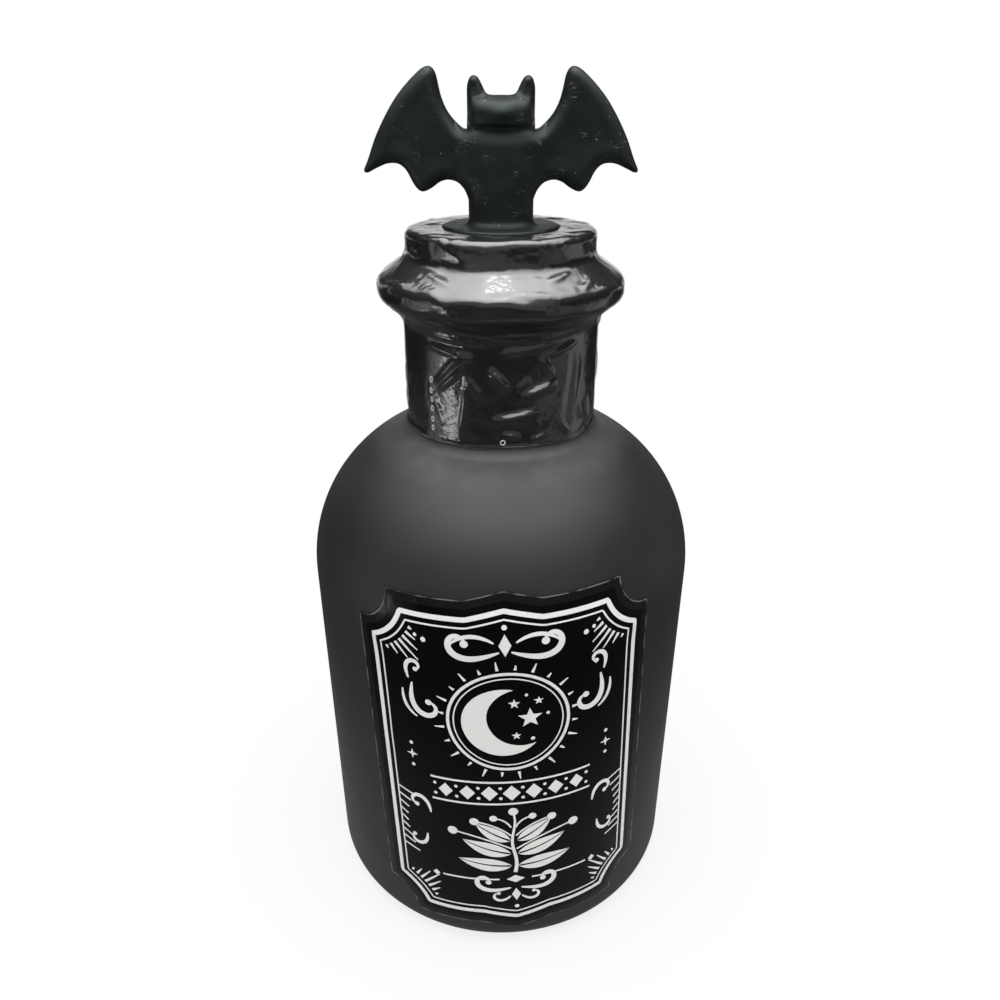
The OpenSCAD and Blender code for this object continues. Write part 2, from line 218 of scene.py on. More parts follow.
def rounded(corners, step=6):
    """A line through [across, up, radius] corners, each replaced by the arc that touches
    both of its sides: its centre lies r/sin(half angle) along the line that halves them."""
    p = np.array(corners, float)
    line = [p[:1, :2]]
    for a, q, b in zip(p[:-2], p[1:-1], p[2:]):
        if q[2] == 0:
            line.append(q[None, :2])
            continue
        u = (a[:2] - q[:2])/np.linalg.norm(a[:2] - q[:2])
        v = (b[:2] - q[:2])/np.linalg.norm(b[:2] - q[:2])
        half = math.acos(float(u @ v))/2
        middle = (u + v)/np.linalg.norm(u + v)
        centre = q[:2] + middle*q[2]/math.sin(half)
        start = q[:2] + u*q[2]/math.tan(half) - centre
        end = q[:2] + v*q[2]/math.tan(half) - centre
        a0 = math.degrees(math.atan2(start[1], start[0]))
        turn = (math.degrees(math.atan2(end[1], end[0])) - a0 + 180) % 360 - 180
        line.append(arc(centre, q[2], a0, a0 + turn, step))
    line.append(p[-1:, :2])
    return np.vstack(line)


def resampled(line, n):
    """n points evenly spaced by length along a line."""
    gone = np.concatenate([[0], np.cumsum(np.linalg.norm(np.diff(line, axis=0), axis=1))])
    keep = np.concatenate([[True], np.diff(gone) > 1e-9])
    at = np.linspace(0, gone[-1], n)
    return np.stack([np.interp(at, gone[keep], line[keep, k]) for k in range(line.shape[1])], -1)


def normals(line):
    """Unit normals to the right of a line's direction: the tangent (dx, dy) turned to
    (dy, -dx), which points outwards on a profile that runs upwards."""
    t = np.gradient(line, axis=0)
    t = t/np.linalg.norm(t, axis=1)[:, None]
    return np.stack([t[:, 1], -t[:, 0]], -1)


def grid_quads(rows, columns, start=0, flip=False):
    """Corner numbers of the cells of a grid of points, rows by columns."""
    i = np.arange(rows*columns).reshape(rows, columns) + start
    q = np.stack([i[:-1, :-1], i[1:, :-1], i[1:, 1:], i[:-1, 1:]], -1).reshape(-1, 4)
    return q[:, ::-1] if flip else q


def slab(top, foot):
    """A closed skin between two grids of points of one shape: both grids, the foot's cells
    turned over, and a wall along each of the four sides."""
    n, m = top.shape[:2]
    size = n*m
    i = np.arange(size).reshape(n, m)
    ring = np.concatenate([i[:, 0], i[-1, 1:], i[-2::-1, -1], i[0, -2::-1]])
    wall = np.stack([ring[1:], ring[:-1], ring[:-1] + size, ring[1:] + size], -1)
    faces = np.vstack([grid_quads(n, m), grid_quads(n, m, size, True), wall])
    return np.vstack([top.reshape(-1, 3), foot.reshape(-1, 3)]), faces


def welded(points, quads):
    """Merges points that share a place and drops what collapses, so seams and poles close."""
    key = np.round(points*1e4).astype(np.int64)
    _, first, again = np.unique(key, axis=0, return_index=True, return_inverse=True)
    q = again.reshape(-1)[quads]
    tris = np.vstack([q[:, [0, 1, 2]], q[:, [0, 2, 3]]])
    a, b, c = tris.T
    return points[first], tris[(a != b) & (b != c) & (c != a)]


def outward(points, tris):
    """Turns all the triangles over if the volume that they close, a sixth of the sum of
    a . (b x c), is negative."""
    a, b, c = points[tris[:, 0]], points[tris[:, 1]], points[tris[:, 2]]
    return tris if np.einsum("ij,ij->", a, np.cross(b, c)) > 0 else tris[:, ::-1]


def revolved(line, steps):
    """A profile turned about the upright axis: (r cos t, r sin t, z)."""
    t = np.linspace(0, 2*np.pi, steps + 1)
    r, z = line[:, 0][None], line[:, 1][None]
    return np.stack([r*np.cos(t)[:, None], r*np.sin(t)[:, None], z + 0*t[:, None]], -1)


def add_piece(name, body, parts, crease=None):
    """Makes one mesh object from (points, quads) parts in millimetres, each welded and turned
    outwards by itself, and lets it ride on a body."""
    points, tris, start = [], [], 0
    for part_points, part_quads in parts:
        p, t = welded(part_points, part_quads)
        points.append(p)
        tris.append(outward(p, t) + start)
        start += len(p)
    mesh = bpy.data.meshes.new(name)
    mesh.from_pydata((np.vstack(points)*MM).tolist(), [], np.vstack(tris).tolist())
    mesh.polygons.foreach_set("use_smooth", np.ones(len(mesh.polygons), bool))
    if crease is not None:
        mesh.set_sharp_from_angle(angle=crease)
    mesh.update()
    piece = bpy.data.objects.new(name, mesh)
    bpy.context.collection.objects.link(piece)
    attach(piece, body)
    return piece


# Finishes


class Value:
    """A socket that holds one number. An expression on it adds Math nodes."""

    def __init__(self, finish, socket):
        self.finish = finish
        self.socket = socket

    def math(self, operation, *others):
        inputs = dict(enumerate((self,) + others))
        return self.finish.node("ShaderNodeMath", {"operation": operation}, inputs)

    def __add__(self, other):
        return self.math("ADD", other)

    def __radd__(self, other):
        return self + other

    def __mul__(self, other):
        return self.math("MULTIPLY", other)

    def __rmul__(self, other):
        return self*other

    def __sub__(self, other):
        return self.math("SUBTRACT", other)

    def __rsub__(self, other):
        return self*-1 + other

    def __truediv__(self, other):
        return self.math("DIVIDE", other)

    def __pow__(self, other):
        return self.math("POWER", other)

    def __abs__(self):
        return self.math("ABSOLUTE")

    def smooth(self, low, high):
        """0 below low, 1 above high, with a soft rise between."""
        return self.finish.node(
            "ShaderNodeMapRange", {"interpolation_type": "SMOOTHSTEP"},
            {"Value": self, "From Min": low, "From Max": high})


class Finish:
    """A node tree under construction, for a material or the world."""

    def __init__(self, owner):
        owner.use_nodes = True
        self.tree = owner.node_tree
        self.tree.nodes.clear()

    def node(self, kind, settings=None, inputs=None, output=0):
        """Adds a node: its settings first, then the values or links of its sockets."""
        made = self.tree.nodes.new(kind)
        for name, value in (settings or {}).items():
            setattr(made, name, value)
        for key, value in (inputs or {}).items():
            if isinstance(value, Value):
                self.tree.links.new(value.socket, made.inputs[key])
            else:
                made.inputs[key].default_value = value
        return Value(self, made.outputs[output]) if len(made.outputs) else made

    def place(self):
        """Object coordinates, in metres."""
        return self.node("ShaderNodeTexCoord", output="Object")

    def parts_of(self, vector):
        """The three numbers of a vector."""
        split = self.node("ShaderNodeSeparateXYZ", None, {0: vector})
        outputs = split.socket.node.outputs
        return [Value(self, outputs[k]) for k in range(3)]

    def noise(self, size_mm, detail=3.0, rough=0.55, place=None, stretch=None):
        """Noise with features about size_mm across, about 0.5 on average."""
        vector = place or self.place()
        if stretch:
            vector = self.node("ShaderNodeMapping", None, {0: vector, "Scale": stretch})
        return self.node("ShaderNodeTexNoise", None, {
            "Vector": vector, "Scale": 1/(size_mm*MM), "Detail": detail, "Roughness": rough})

    def specks(self, spacing_mm, radius, place=None):
        """Round specks, one in each cell of a Voronoi pattern, 1 inside and 0 outside."""
        reach = self.node("ShaderNodeTexVoronoi", None, {
            "Vector": place or self.place(), "Scale": 1/(spacing_mm*MM)}, "Distance")
        return 1 - reach.smooth(radius*0.6, radius)

    def colour(self, factor, a, b, blend="MIX"):
        """Blend of two colours."""
        return self.node("ShaderNodeMix", {"data_type": "RGBA", "blend_type": blend},
                         {0: factor, 6: a, 7: b}, 2)

    def bump(self, height, strength, distance_mm):
        """Normal of a bumpy surface, from its height between 0 and 1."""
        return self.node("ShaderNodeBump", None, {
            "Height": height, "Strength": strength, "Distance": distance_mm*MM})

    def surface(self, **inputs):
        """A Principled surface. Names have _ for a space."""
        named = {key.replace("_", " "): value for key, value in inputs.items()}
        return self.node("ShaderNodeBsdfPrincipled", None, named)

    def show(self, shader, kind="ShaderNodeOutputMaterial"):
        self.node(kind, None, {"Surface": shader})


def new_material(name):
    material = bpy.data.materials.new(name)
    return material, Finish(material)


def tone(colour, k):
    """A colour times k, still opaque."""
    return (colour[0]*k, colour[1]*k, colour[2]*k, 1.0)


def coated_glass(colours):
    """Soft matte coating: faint mottling, a fine grain and a few pale specks, and a painted
    highlight: a paler, mottled band on the top of the shoulder just under the film, where the bead
    shades it."""
    material, f = new_material("coated glass")
    coat = tuple(colours.coat)
    cloud = f.noise(14, 4).smooth(0.35, 0.65)
    grain = f.noise(0.35, 2)
    dust = f.specks(3.1, 0.045)*f.noise(9, 2).smooth(0.52, 0.66)
    base = f.colour(cloud, tone(coat, 0.92), tone(coat, 1.08))
    base = f.colour(dust*0.35, base, (0.16, 0.16, 0.15, 1))
    _, _, up = f.parts_of(f.place())
    # Painted highlight: a paler, mottled band on the top of the shoulder just under the film, where
    # the bead shades the coat.
    level = up.smooth(0.1035, 0.1075)*(1 - up.smooth(0.1085, 0.1105))
    level = level*(f.noise(4.2, 3).smooth(0.3, 0.7)*0.5 + 0.5)
    base = f.colour(level, base, (0.046, 0.049, 0.049, 1))
    height = grain*0.5 + f.noise(2.6, 3)*0.5
    f.show(f.surface(
        Base_Color=base, Roughness=0.5 + cloud*0.05 + (grain - 0.5)*0.06,
        Specular_IOR_Level=0.5, Normal=f.bump(height, 0.12, 0.06)))
    return material


def clear_film(colours):
    """Clear gloss: what its outer side reflects grows towards a glancing view, and the rest
    passes. The sides of the film that are met from within it show nothing."""
    material, f = new_material("clear film")
    ripple = f.noise(1.4, 3, 0.6)*0.25 + f.noise(3.2, 2)*0.8 + f.noise(7, 2)*0.9
    normal = f.bump(ripple, 0.7, 0.42)
    glance = f.node("ShaderNodeFresnel", None, {"IOR": 1.95, "Normal": normal})
    scuff = f.noise(0.9, 4).smooth(0.5, 0.75)*f.noise(6, 2).smooth(0.45, 0.7)
    gloss = f.surface(
        Base_Color=tuple(colours.film), Metallic=1.0, Roughness=0.17 + scuff*0.14, Normal=normal)
    clear = f.node("ShaderNodeBsdfTransparent", None, {"Color": (0.84, 0.84, 0.84, 1)})
    inside = f.node("ShaderNodeNewGeometry", output="Backfacing")
    factor = (glance + scuff*0.02).math("MINIMUM", 1.0)*(1 - inside)
    f.show(f.node("ShaderNodeMixShader", None, {0: factor, 1: clear, 2: gloss}))
    return material


def frosted_edge(colours):
    """Punched or bubbled film, which scatters light where it is cut."""
    material, f = new_material("film edge")
    f.show(f.surface(Base_Color=(0.46, 0.47, 0.46, 1), Roughness=0.25))
    return material


def cut_edge_painted_glint(colours):
    """Cut side of a clear film, with a painted glint: pale patches at random and dark between."""
    material, f = new_material("cut edge painted glint")
    # Painted glint: pale patches at random along the edge.
    painted_glint = f.noise(3.2, 3).smooth(0.42, 0.6)
    f.show(f.surface(
        Base_Color=f.colour(painted_glint, tone(tuple(colours.coat), 0.8), (0.11, 0.115, 0.11, 1)),
        Roughness=0.3))
    return material


def label_clear(colours):
    """Glossy clear film stuck on the matte coating, which it darkens."""
    material, f = new_material("label film")
    smear = f.noise(5, 3).smooth(0.4, 0.7)
    f.show(f.surface(
        Base_Color=tone(tuple(colours.coat), 0.5), Roughness=0.15 + smear*0.1,
        Specular_IOR_Level=0.15, Normal=f.bump(f.noise(3.5, 2), 0.25, 0.08)))
    return material


def print_black(colours):
    """Black ground of the print: a deep, even semi-gloss."""
    material, f = new_material("label black")
    smear = f.noise(7, 3).smooth(0.4, 0.7)
    f.show(f.surface(
        Base_Color=tuple(colours.ground), Roughness=0.16 + smear*0.08,
        Specular_IOR_Level=0.09, Normal=f.bump(f.noise(4, 2), 0.2, 0.06)))
    return material


def print_white(colours):
    """White ink with a slightly thin, uneven lay."""
    material, f = new_material("label white")
    ink = tuple(colours.ink)
    thin = f.noise(0.6, 3).smooth(0.5, 0.8)
    f.show(f.surface(
        Base_Color=f.colour(thin, ink, tone(ink, 0.9)), Roughness=0.36 + thin*0.1,
        Specular_IOR_Level=0.2))
    return material


def bat_resin(colours):
    """Moulded matte resin: cloudy black, with fine grain, pale dust and a few fibres."""
    material, f = new_material("bat resin")
    resin = tuple(colours.resin)
    place = f.place()
    cloud = f.noise(4.5, 4).smooth(0.35, 0.68)
    dust = f.specks(1.5, 0.11)*f.noise(3.5, 3).smooth(0.47, 0.6)
    fibre = f.noise(1.1, 1.5, 0.5, place, (0.35, 1.0, 1.6))
    fibre = (1 - abs(fibre - 0.5).smooth(0.0, 0.018))*f.noise(3, 2).smooth(0.56, 0.66)
    base = f.colour(cloud, tone(resin, 0.85), tone(resin, 1.25))
    base = f.colour((dust*0.75 + fibre*0.3).math("MINIMUM", 1.0), base, (0.3, 0.31, 0.3, 1))
    height = f.noise(0.28, 2)*0.4 + f.noise(1.2, 3)*0.6 + dust*0.4
    f.show(f.surface(
        Base_Color=base, Roughness=0.46 + cloud*0.08, Specular_IOR_Level=0.38,
        Specular_Tint=(0.8, 1.0, 0.93, 1),
        Normal=f.bump(height, 0.3, 0.08)))
    return material


def plug_rubber(colours):
    """Moulded rubber with a dry bloom."""
    material, f = new_material("plug rubber")
    rubber = tuple(colours.rubber)
    bloom = f.noise(3, 4).smooth(0.4, 0.7)
    f.show(f.surface(
        Base_Color=f.colour(bloom, rubber, tone(rubber, 1.7)), Roughness=0.6 + bloom*0.12,
        Normal=f.bump(f.noise(0.4, 2), 0.2, 0.05)))
    return material


def stud_steel(colours):
    """Drawn steel, with fine marks along its length."""
    material, f = new_material("stud steel")
    drawn = f.noise(0.25, 2, 0.5, None, (1.0, 1.0, 0.05))
    f.show(f.surface(
        Base_Color=tuple(colours.steel), Metallic=1.0, Roughness=0.3 + drawn*0.15,
        Normal=f.bump(drawn, 0.15, 0.03)))
    return material


# Glass


def glass_profile():
    """Closed profile of the glass, from the middle of the hollow foot, up the outside, over
    the lip and down the inside to the middle of the floor."""
    ring = BODY_R - FOOT_R - BEARING_W
    punt_r = (ring**2 + PUNT_H**2)/(2*PUNT_H)
    punt = arc((0, PUNT_H - punt_r), punt_r, 90, 90 - math.degrees(math.asin(ring/punt_r)), 14)
    side = np.linspace(FOOT_R, SHOULDER_Z, 40)[1:-1]
    outside = np.vstack([
        arc((BODY_R - FOOT_R, FOOT_R), FOOT_R, -90, 0, 14),
        np.stack([np.full_like(side, BODY_R), side], -1),
        arc((SHOULDER_X, SHOULDER_Z), SHOULDER_R, 0, MEET_A, 48),
        arc((FILLET_X, FILLET_Z), NECK_FILLET, 180 + MEET_A, 180, 12)])
    crown = rounded([
        [NECK_R, FILLET_Z, 0],
        [NECK_R, NECK_TOP, GLASS_CREASE],
        [BEAD_R, NECK_TOP + BEAD_UNDER_H, BEAD_ROUND],
        [BEAD_R, LIP_BASE - BEAD_UPPER_H, BEAD_ROUND],
        [LIP_R, LIP_BASE, GLASS_CREASE],
        [LIP_R, TOP_Z, LIP_ROUND],
        [BORE_R + MOUTH_EASE, TOP_Z, 0]], 10)
    bore_z = TOP_Z - BORE_L
    neck_in = NECK_R - NECK_WALL
    inside = np.vstack([
        arc((BORE_R + MOUTH_EASE, TOP_Z - MOUTH_EASE), MOUTH_EASE, 90, 180, 6),
        rounded([
            [BORE_R, TOP_Z - MOUTH_EASE, 0],
            [BORE_R, bore_z, 3],
            [neck_in, bore_z - (neck_in - BORE_R)*1.3, 3],
            [neck_in, FILLET_Z - 1, 0]], 6),
        arc((SHOULDER_X, SHOULDER_Z), SHOULDER_R - WALL,
            math.degrees(math.acos((neck_in - SHOULDER_X)/(SHOULDER_R - WALL))), 0, 20),
        rounded([
            [BODY_R - WALL, SHOULDER_Z, 0],
            [BODY_R - WALL, FLOOR_T, 7],
            [0, PUNT_H + FLOOR_T, 0]], 8)])
    return np.vstack([punt, outside[1:], crown, inside])


def on_glass(across, up, lift):
    """Points of a flat sheet laid on the glass. across is measured round the side, up along
    the glass from the floor, and lift is along the normal: below the shoulder the height is
    up, above it up is an arc, z = z0 + R sin((up - z0)/R); the sheet keeps its outline as
    seen from the front, x = R0 sin(across/R0), and is turned to asin(x/r) about the axis."""
    t = np.maximum(up - SHOULDER_Z, 0)/SHOULDER_R
    foot = np.clip(FOOT_R - up, 0, FOOT_R)
    z = np.where(up > SHOULDER_Z, SHOULDER_Z + SHOULDER_R*np.sin(t), up)
    r = np.where(up > SHOULDER_Z, SHOULDER_X + SHOULDER_R*np.cos(t),
                 BODY_R - FOOT_R + np.sqrt(FOOT_R**2 - foot**2))
    out = np.where(up > SHOULDER_Z, np.cos(t), 1.0)
    rise = np.where(up > SHOULDER_Z, np.sin(t), 0.0)
    turn = np.arcsin(np.clip(BODY_R*np.sin(across/BODY_R)/r, -1, 1))
    far = r + lift*out
    return np.stack([far*np.sin(turn), -far*np.cos(turn), z + lift*rise], -1)


# Shrink film

FILM_ROUND = 354
FILM_ALONG = 134

# Creases that the photograph shows: degrees from the front to the right, millimetres up
# along the film from its lower edge, lean in degrees, half length, width of the fall on the
# lower and the upper side, and height
CREASES = (
    (-30, 14.9, 49, 4.0, 0.45, 0.5, 1.3), (-29, 12.8, 43, 3.2, 0.4, 0.45, 1.2),
    (-22, 16.6, 20, 2.0, 0.4, 0.5, 1.1), (-39, 7.4, -66, 3.8, 0.5, 0.5, 0.5),
    (-21, 8.0, 82, 4.5, 0.5, 0.4, 0.9), (-15, 11.6, -50, 2.2, 0.5, 0.6, 0.8),
    (-1, 13.4, -45, 2.0, 0.8, 0.5, 1.75), (21, 11.2, 18, 3.2, 0.9, 0.65, 2.1),
    (26, 15.3, -60, 1.8, 0.7, 0.45, 1.5), (8, 6.4, 11, 4.0, 0.8, 0.55, 1.8),
    (12, 12.4, 48, 1.4, 0.5, 0.4, 0.9), (-2, 3.9, 88, 1.9, 0.35, 0.4, 0.8),
    (21, 4.4, 86, 1.2, 0.35, 0.4, 0.8), (6, 2.7, -10, 1.5, 0.4, 0.4, 1.1),
    (22, 1.9, 15, 1.5, 0.4, 0.4, 1.0), (29, 6.4, 56, 3.0, 0.6, 0.6, 0.9),
    (36, 9, 82, 7.0, 1.0, 0.7, 0.7), (46, 9, 84, 7.0, 0.7, 0.9, 0.7),
    (38, 3.4, -52, 2.2, 0.5, 0.5, 0.9), (-24, 20.2, -4, 5.0, 0.4, 0.8, 1.3),
    (-31, 17.8, -9, 4.2, 0.4, 0.6, 1.1), (17, 18.9, 9, 4.6, 0.5, 0.6, 1.3),
    (27, 20.8, 8, 4.8, 0.4, 0.7, 1.3), (9, 21.6, 3, 3.6, 0.5, 0.9, 0.8),
    (36, 18.0, 14, 3.2, 0.4, 0.6, 1.0), (-8, 23.4, -4, 4.2, 0.5, 0.8, 0.6),
    (24, 23.6, 5, 4.2, 0.4, 0.9, 1.1), (-34, 24.0, -6, 4.0, 0.4, 0.9, 1.1),
    (-34, 33.5, -24, 3.2, 0.6, 0.7, 1.3), (31, 34.0, 20, 2.8, 0.6, 0.6, 1.2),
    (-56, 30.5, 12, 2.6, 0.5, 0.7, 1.3), (58, 29.5, -16, 2.8, 0.5, 0.7, 1.3),
    (46, 32.0, 30, 2.4, 0.5, 0.6, 1.0), (-4, 29.4, 6, 3.6, 1.0, 1.0, 0.8),
    (16, 30.6, -14, 3.2, 0.9, 1.0, 0.8), (-20, 29.2, 12, 3.4, 0.8, 1.0, 0.9),
    (-40, 40.4, 10, 2.2, 0.5, 1.0, 1.2), (14, 40.2, -6, 3.6, 0.5, 1.2, 1.2),
    (36, 39.8, 24, 2.4, 0.5, 1.0, 1.1), (-12, 36.6, 3, 4.0, 0.6, 0.9, 0.9),
)


def film_profile(g):
    """Outer line of the film, g outside the glass, from its lower edge to its hole. Where the
    glass has a crease the film bridges it in a wider curve."""
    return np.vstack([
        arc((FILLET_X, FILLET_Z), NECK_FILLET - g, 180 + FILM_REACH, 180, 6),
        rounded([
            [NECK_R + g, FILLET_Z, 0],
            [NECK_R + g, NECK_TOP, FILM_CREASE*1.35],
            [BEAD_R + g, NECK_TOP + BEAD_UNDER_H, BEAD_ROUND + g],
            [BEAD_R + g, LIP_BASE - BEAD_UPPER_H, BEAD_ROUND + g],
            [LIP_R + g, LIP_BASE, FILM_CREASE*0.8],
            [LIP_R + g, TOP_Z + g, LIP_ROUND + g],
            [FILM_HOLE_R, TOP_Z + g, 0]], 16)])


def crease_height(turn, along, tall):
    """Height of the film's creases: each is a tent that falls off as
    (1 - (sqrt(q^2 + e^2) - e)/w)^1.3 across its line and as exp(-(p/l)^4) along it, and long
    low waves lie between them. Seeded, so that it is the same each time."""
    rng = np.random.default_rng(11)
    rows = [(math.radians(a), up, math.radians(lean), half, low, high, height*tall)
            for a, up, lean, half, low, high, height in CREASES]
    for _ in range(70):
        up = rng.uniform(1.0, 25.0)
        steep = rng.normal(90, 26) if up < 16 else rng.normal(0, 9)
        turn_at = rng.uniform(math.radians(48), math.radians(300))
        rows.append((turn_at, up, math.radians(steep), rng.uniform(1.4, 4.6),
                     rng.uniform(0.3, 0.8), rng.uniform(0.4, 1.6), rng.uniform(0.3, 0.9)*tall))
    for _ in range(104):
        rows.append((rng.uniform(-np.pi, np.pi), rng.uniform(26, 46),
                     math.radians(rng.normal(0, 26)), rng.uniform(1.5, 5.0),
                     rng.uniform(0.6, 1.8), rng.uniform(0.6, 1.8), rng.uniform(0.25, 0.75)*tall))
    total = np.zeros_like(turn)
    e = 0.18
    for a, up, lean, half, low, high, height in rows:
        across = ((turn - a + np.pi) % (2*np.pi) - np.pi)*NECK_R
        rise = along - up
        p = across*math.cos(lean) + rise*math.sin(lean)
        q = rise*math.cos(lean) - across*math.sin(lean)
        width = np.where(q > 0, high, low)*1.7
        ridge = np.clip(1 - (np.sqrt(q*q + e*e) - e)/width, 0, 1)**1.3*np.exp(-(p/half)**4)
        total = np.maximum(total, 0.55*total + height*ridge)
    waves = (np.sin(5*turn + 0.28*along) + np.sin(9*turn - 0.5*along + 1.7)
             + np.sin(3*turn + 0.9*along + 0.6) + 3)/6
    return total + 0.16*tall*waves


def film_surface(sizes):
    """Both skins of the film over (turn, along): the profile moved out along its normal by
    the creases, then turned about the axis. Its lower edge is slightly wavy."""
    t_mm = sizes.film_t/MM
    tall = sizes.crease_h/MM
    inner = resampled(film_profile(FILM_GAP), FILM_ALONG)
    gone = np.concatenate([[0], np.cumsum(np.linalg.norm(np.diff(inner, axis=0), axis=1))])
    out = normals(inner)
    turn = np.linspace(-np.pi, np.pi, FILM_ROUND + 1)[:, None]
    turn[-1] = turn[0] + 2*np.pi
    along = gone[None] + 0*turn
    lift = crease_height(np.where(turn > np.pi - 1e-9, -np.pi, turn) + 0*along, along, tall)
    lift = lift*ease(0, 1.2, along)*ease(0, 1.4, gone[-1] - along)
    lift = lift*mix(1.0, 0.75, ease(24, 30, along))
    wave = 0.22*np.sin(4*turn + 1) + 0.14*np.sin(7*turn) + 0.1*np.sin(13*turn + 2)
    tuck = (0.3 + wave)*np.clip(1 - along/3.0, 0, 1)

    def skin(g):
        r = inner[:, 0][None] + out[:, 0][None]*(lift + g)
        z = inner[:, 1][None] + out[:, 1][None]*(lift + g) + tuck
        return np.stack([r*np.sin(turn), -r*np.cos(turn), z], -1)

    return skin(t_mm), skin(0.0), turn[:, 0], gone


def film_frame(outer, turn, gone, at_turn, at_along):
    """A place on the film with the directions round it, along it and out of it."""
    i = int(np.argmin(abs(turn - at_turn)))
    j = int(np.argmin(abs(gone - at_along)))
    place = outer[i, j]
    round_it = outer[i + 1, j] - outer[i - 1, j]
    along = outer[i, j + 1] - outer[i, j - 1]
    round_it = round_it/np.linalg.norm(round_it)
    along = along/np.linalg.norm(along)
    return place, round_it, along, np.cross(round_it, along)


def small_ring(place, u, v, n, r, tube, stretch=1.0):
    """A ring lying on the film: ((r + t cos b) cos a, s (r + t cos b) sin a, t sin b)."""
    a = np.linspace(0, 2*np.pi, 21)[:, None]
    b = np.linspace(0, 2*np.pi, 9)[None]
    wide = r + tube*np.cos(b)
    return (place + (wide*np.cos(a))[..., None]*u + (stretch*wide*np.sin(a))[..., None]*v
            + (tube*np.sin(b) + 0*a)[..., None]*n)


def edge_tube(line, r, sides=8):
    """A thin tube along a closed line round the bottle: line + r (cos b e + sin b k), with e
    outwards from the axis and k upwards."""
    b = np.linspace(0, 2*np.pi, sides + 1)[None, :, None]
    out = line*[1, 1, 0]
    out = out/np.linalg.norm(out, axis=1)[:, None]
    return line[:, None] + r*(np.cos(b)*out[:, None] + np.sin(b)*np.array([0, 0, 1.0]))


# Label

LABEL_NOTCH = 7.0
SHEET_T = 0.095
GROUND_INSET = 1.7
GROUND_T = 0.02
INK_T = 0.025


def label_lift(x, y, half_h):
    """How far the film stands off the glass: it tents a little where its flat top edge has to
    follow the shoulder, in folds that die away downwards, and has two trapped bubbles."""
    down = half_h - y
    folds = 0.14*np.exp(-(down/3.0)**2)*(0.5 + 0.5*np.sin(0.42*x + 0.9 + 0.6*np.sin(0.31*x)))**2
    short = 0.5 + 0.5*np.sin(0.9*x + 2.2 - 0.9*np.sin(0.23*x + 1))
    folds = folds + 0.12*np.exp(-(down/3.8)**2)*short**4
    corner = 0.25*np.exp(-((np.abs(x) - 25)/2.6)**2 - ((y - 31)/3.0)**2)
    bubble = 0.10*np.exp(-((x - 20)/1.4)**2 - ((y + 30)/2.0)**2)
    bubble = bubble + 0.08*np.exp(-((x + 24)/1.0)**2 - ((y - 8)/3.2)**2)
    return folds + corner + bubble


class LabelPlace:
    """Lays label points on the glass: the label's own x to the right and y up, turned by its
    tilt and moved to its place."""

    def __init__(self, sizes):
        self.half_w = sizes.label_w/MM/2
        self.half_h = sizes.label_h/MM/2
        self.up = sizes.label_z/MM
        self.side = sizes.label_side/MM
        self.tilt = sizes.label_tilt

    def lay(self, grid, lift):
        x, y = grid[..., 0], grid[..., 1]
        across = self.side + x*math.cos(self.tilt) - y*math.sin(self.tilt)
        up = self.up + x*math.sin(self.tilt) + y*math.cos(self.tilt)
        return on_glass(across, up, lift + LABEL_GAP + label_lift(x, y, self.half_h))

    def top(self, x, inset):
        """Height of the outline over x: a flat top with a low point in its middle, and hollow
        corners that are arcs about the outer corner."""
        flat = self.half_h - LABEL_NOTCH/4
        notch = LABEL_NOTCH + inset
        reach = self.half_w - abs(x)
        point = np.clip(LABEL_NOTCH - abs(x), 0, None)/4
        hollow = flat - np.sqrt(np.clip(notch**2 - reach**2, 0, None))
        return np.where(reach < math.sqrt(notch**2 - inset**2), hollow, flat - inset + point)

    def columns(self, inset, n):
        """Places across, closer together where the hollow corners are steep."""
        notch = LABEL_NOTCH + inset
        first = math.asin(inset/notch)
        hollow = self.half_w - notch*np.cos(np.linspace(first, math.pi/2 - first, 14))
        flat = np.linspace(0, hollow[0], n)[:-1]
        right = np.concatenate([flat, hollow])
        return np.concatenate([-right[:0:-1], right])

    def panel(self, inset, rows=96):
        """Grid that fills the outline, drawn in by inset."""
        x = self.columns(inset, 44)[:, None]
        v = np.linspace(-1, 1, rows)[None]
        return np.stack([x + 0*v, self.top(x, inset)*v], -1)

    def outline(self, inset, step=0.5):
        """The outline drawn in by inset, as one closed line."""
        x = self.columns(inset, 40)
        y = self.top(x, inset)
        line = np.vstack([np.stack([x, y], -1), np.stack([x[::-1], -y[::-1]], -1), [[x[0], y[0]]]])
        return resampled(line, int(np.linalg.norm(np.diff(line, axis=0), axis=1).sum()/step))


def stroke(line, width, cells=2):
    """A ribbon of ink along a line, width wide, as a grid: line + normal * offset."""
    n = normals(np.asarray(line, float))
    w = np.broadcast_to(width, len(line))[:, None]
    u = np.linspace(-0.5, 0.5, cells + 1)[None]
    return line[:, None] + n[:, None]*(w*u)[..., None]


def closed_stroke(line, width):
    """A ribbon along a closed line, with its two ends meeting."""
    t = np.roll(line[:-1], -1, axis=0) - np.roll(line[:-1], 1, axis=0)
    t = t/np.linalg.norm(t, axis=1)[:, None]
    n = np.stack([t[:, 1], -t[:, 0]], -1)
    n = np.vstack([n, n[:1]])
    u = np.linspace(-0.5, 0.5, 3)[None, :, None]
    return line[:, None] + n[:, None]*(width*u)


def fan(centre, rim, rings=3):
    """A patch between a centre and a closed rim: centre + (rim - centre) * u."""
    u = np.linspace(0, 1, rings + 1)[None, :, None]
    centre = np.array(centre, float)
    return centre + (np.asarray(rim)[:, None] - centre)*u


def circle(x, y, r, n=28):
    t = np.linspace(0, 2*np.pi, n + 1)
    return np.stack([x + r*np.cos(t), y + r*np.sin(t)], -1)


def dot(x, y, r):
    return fan((x, y), circle(x, y, r), 2 if r < 0.7 else 3)


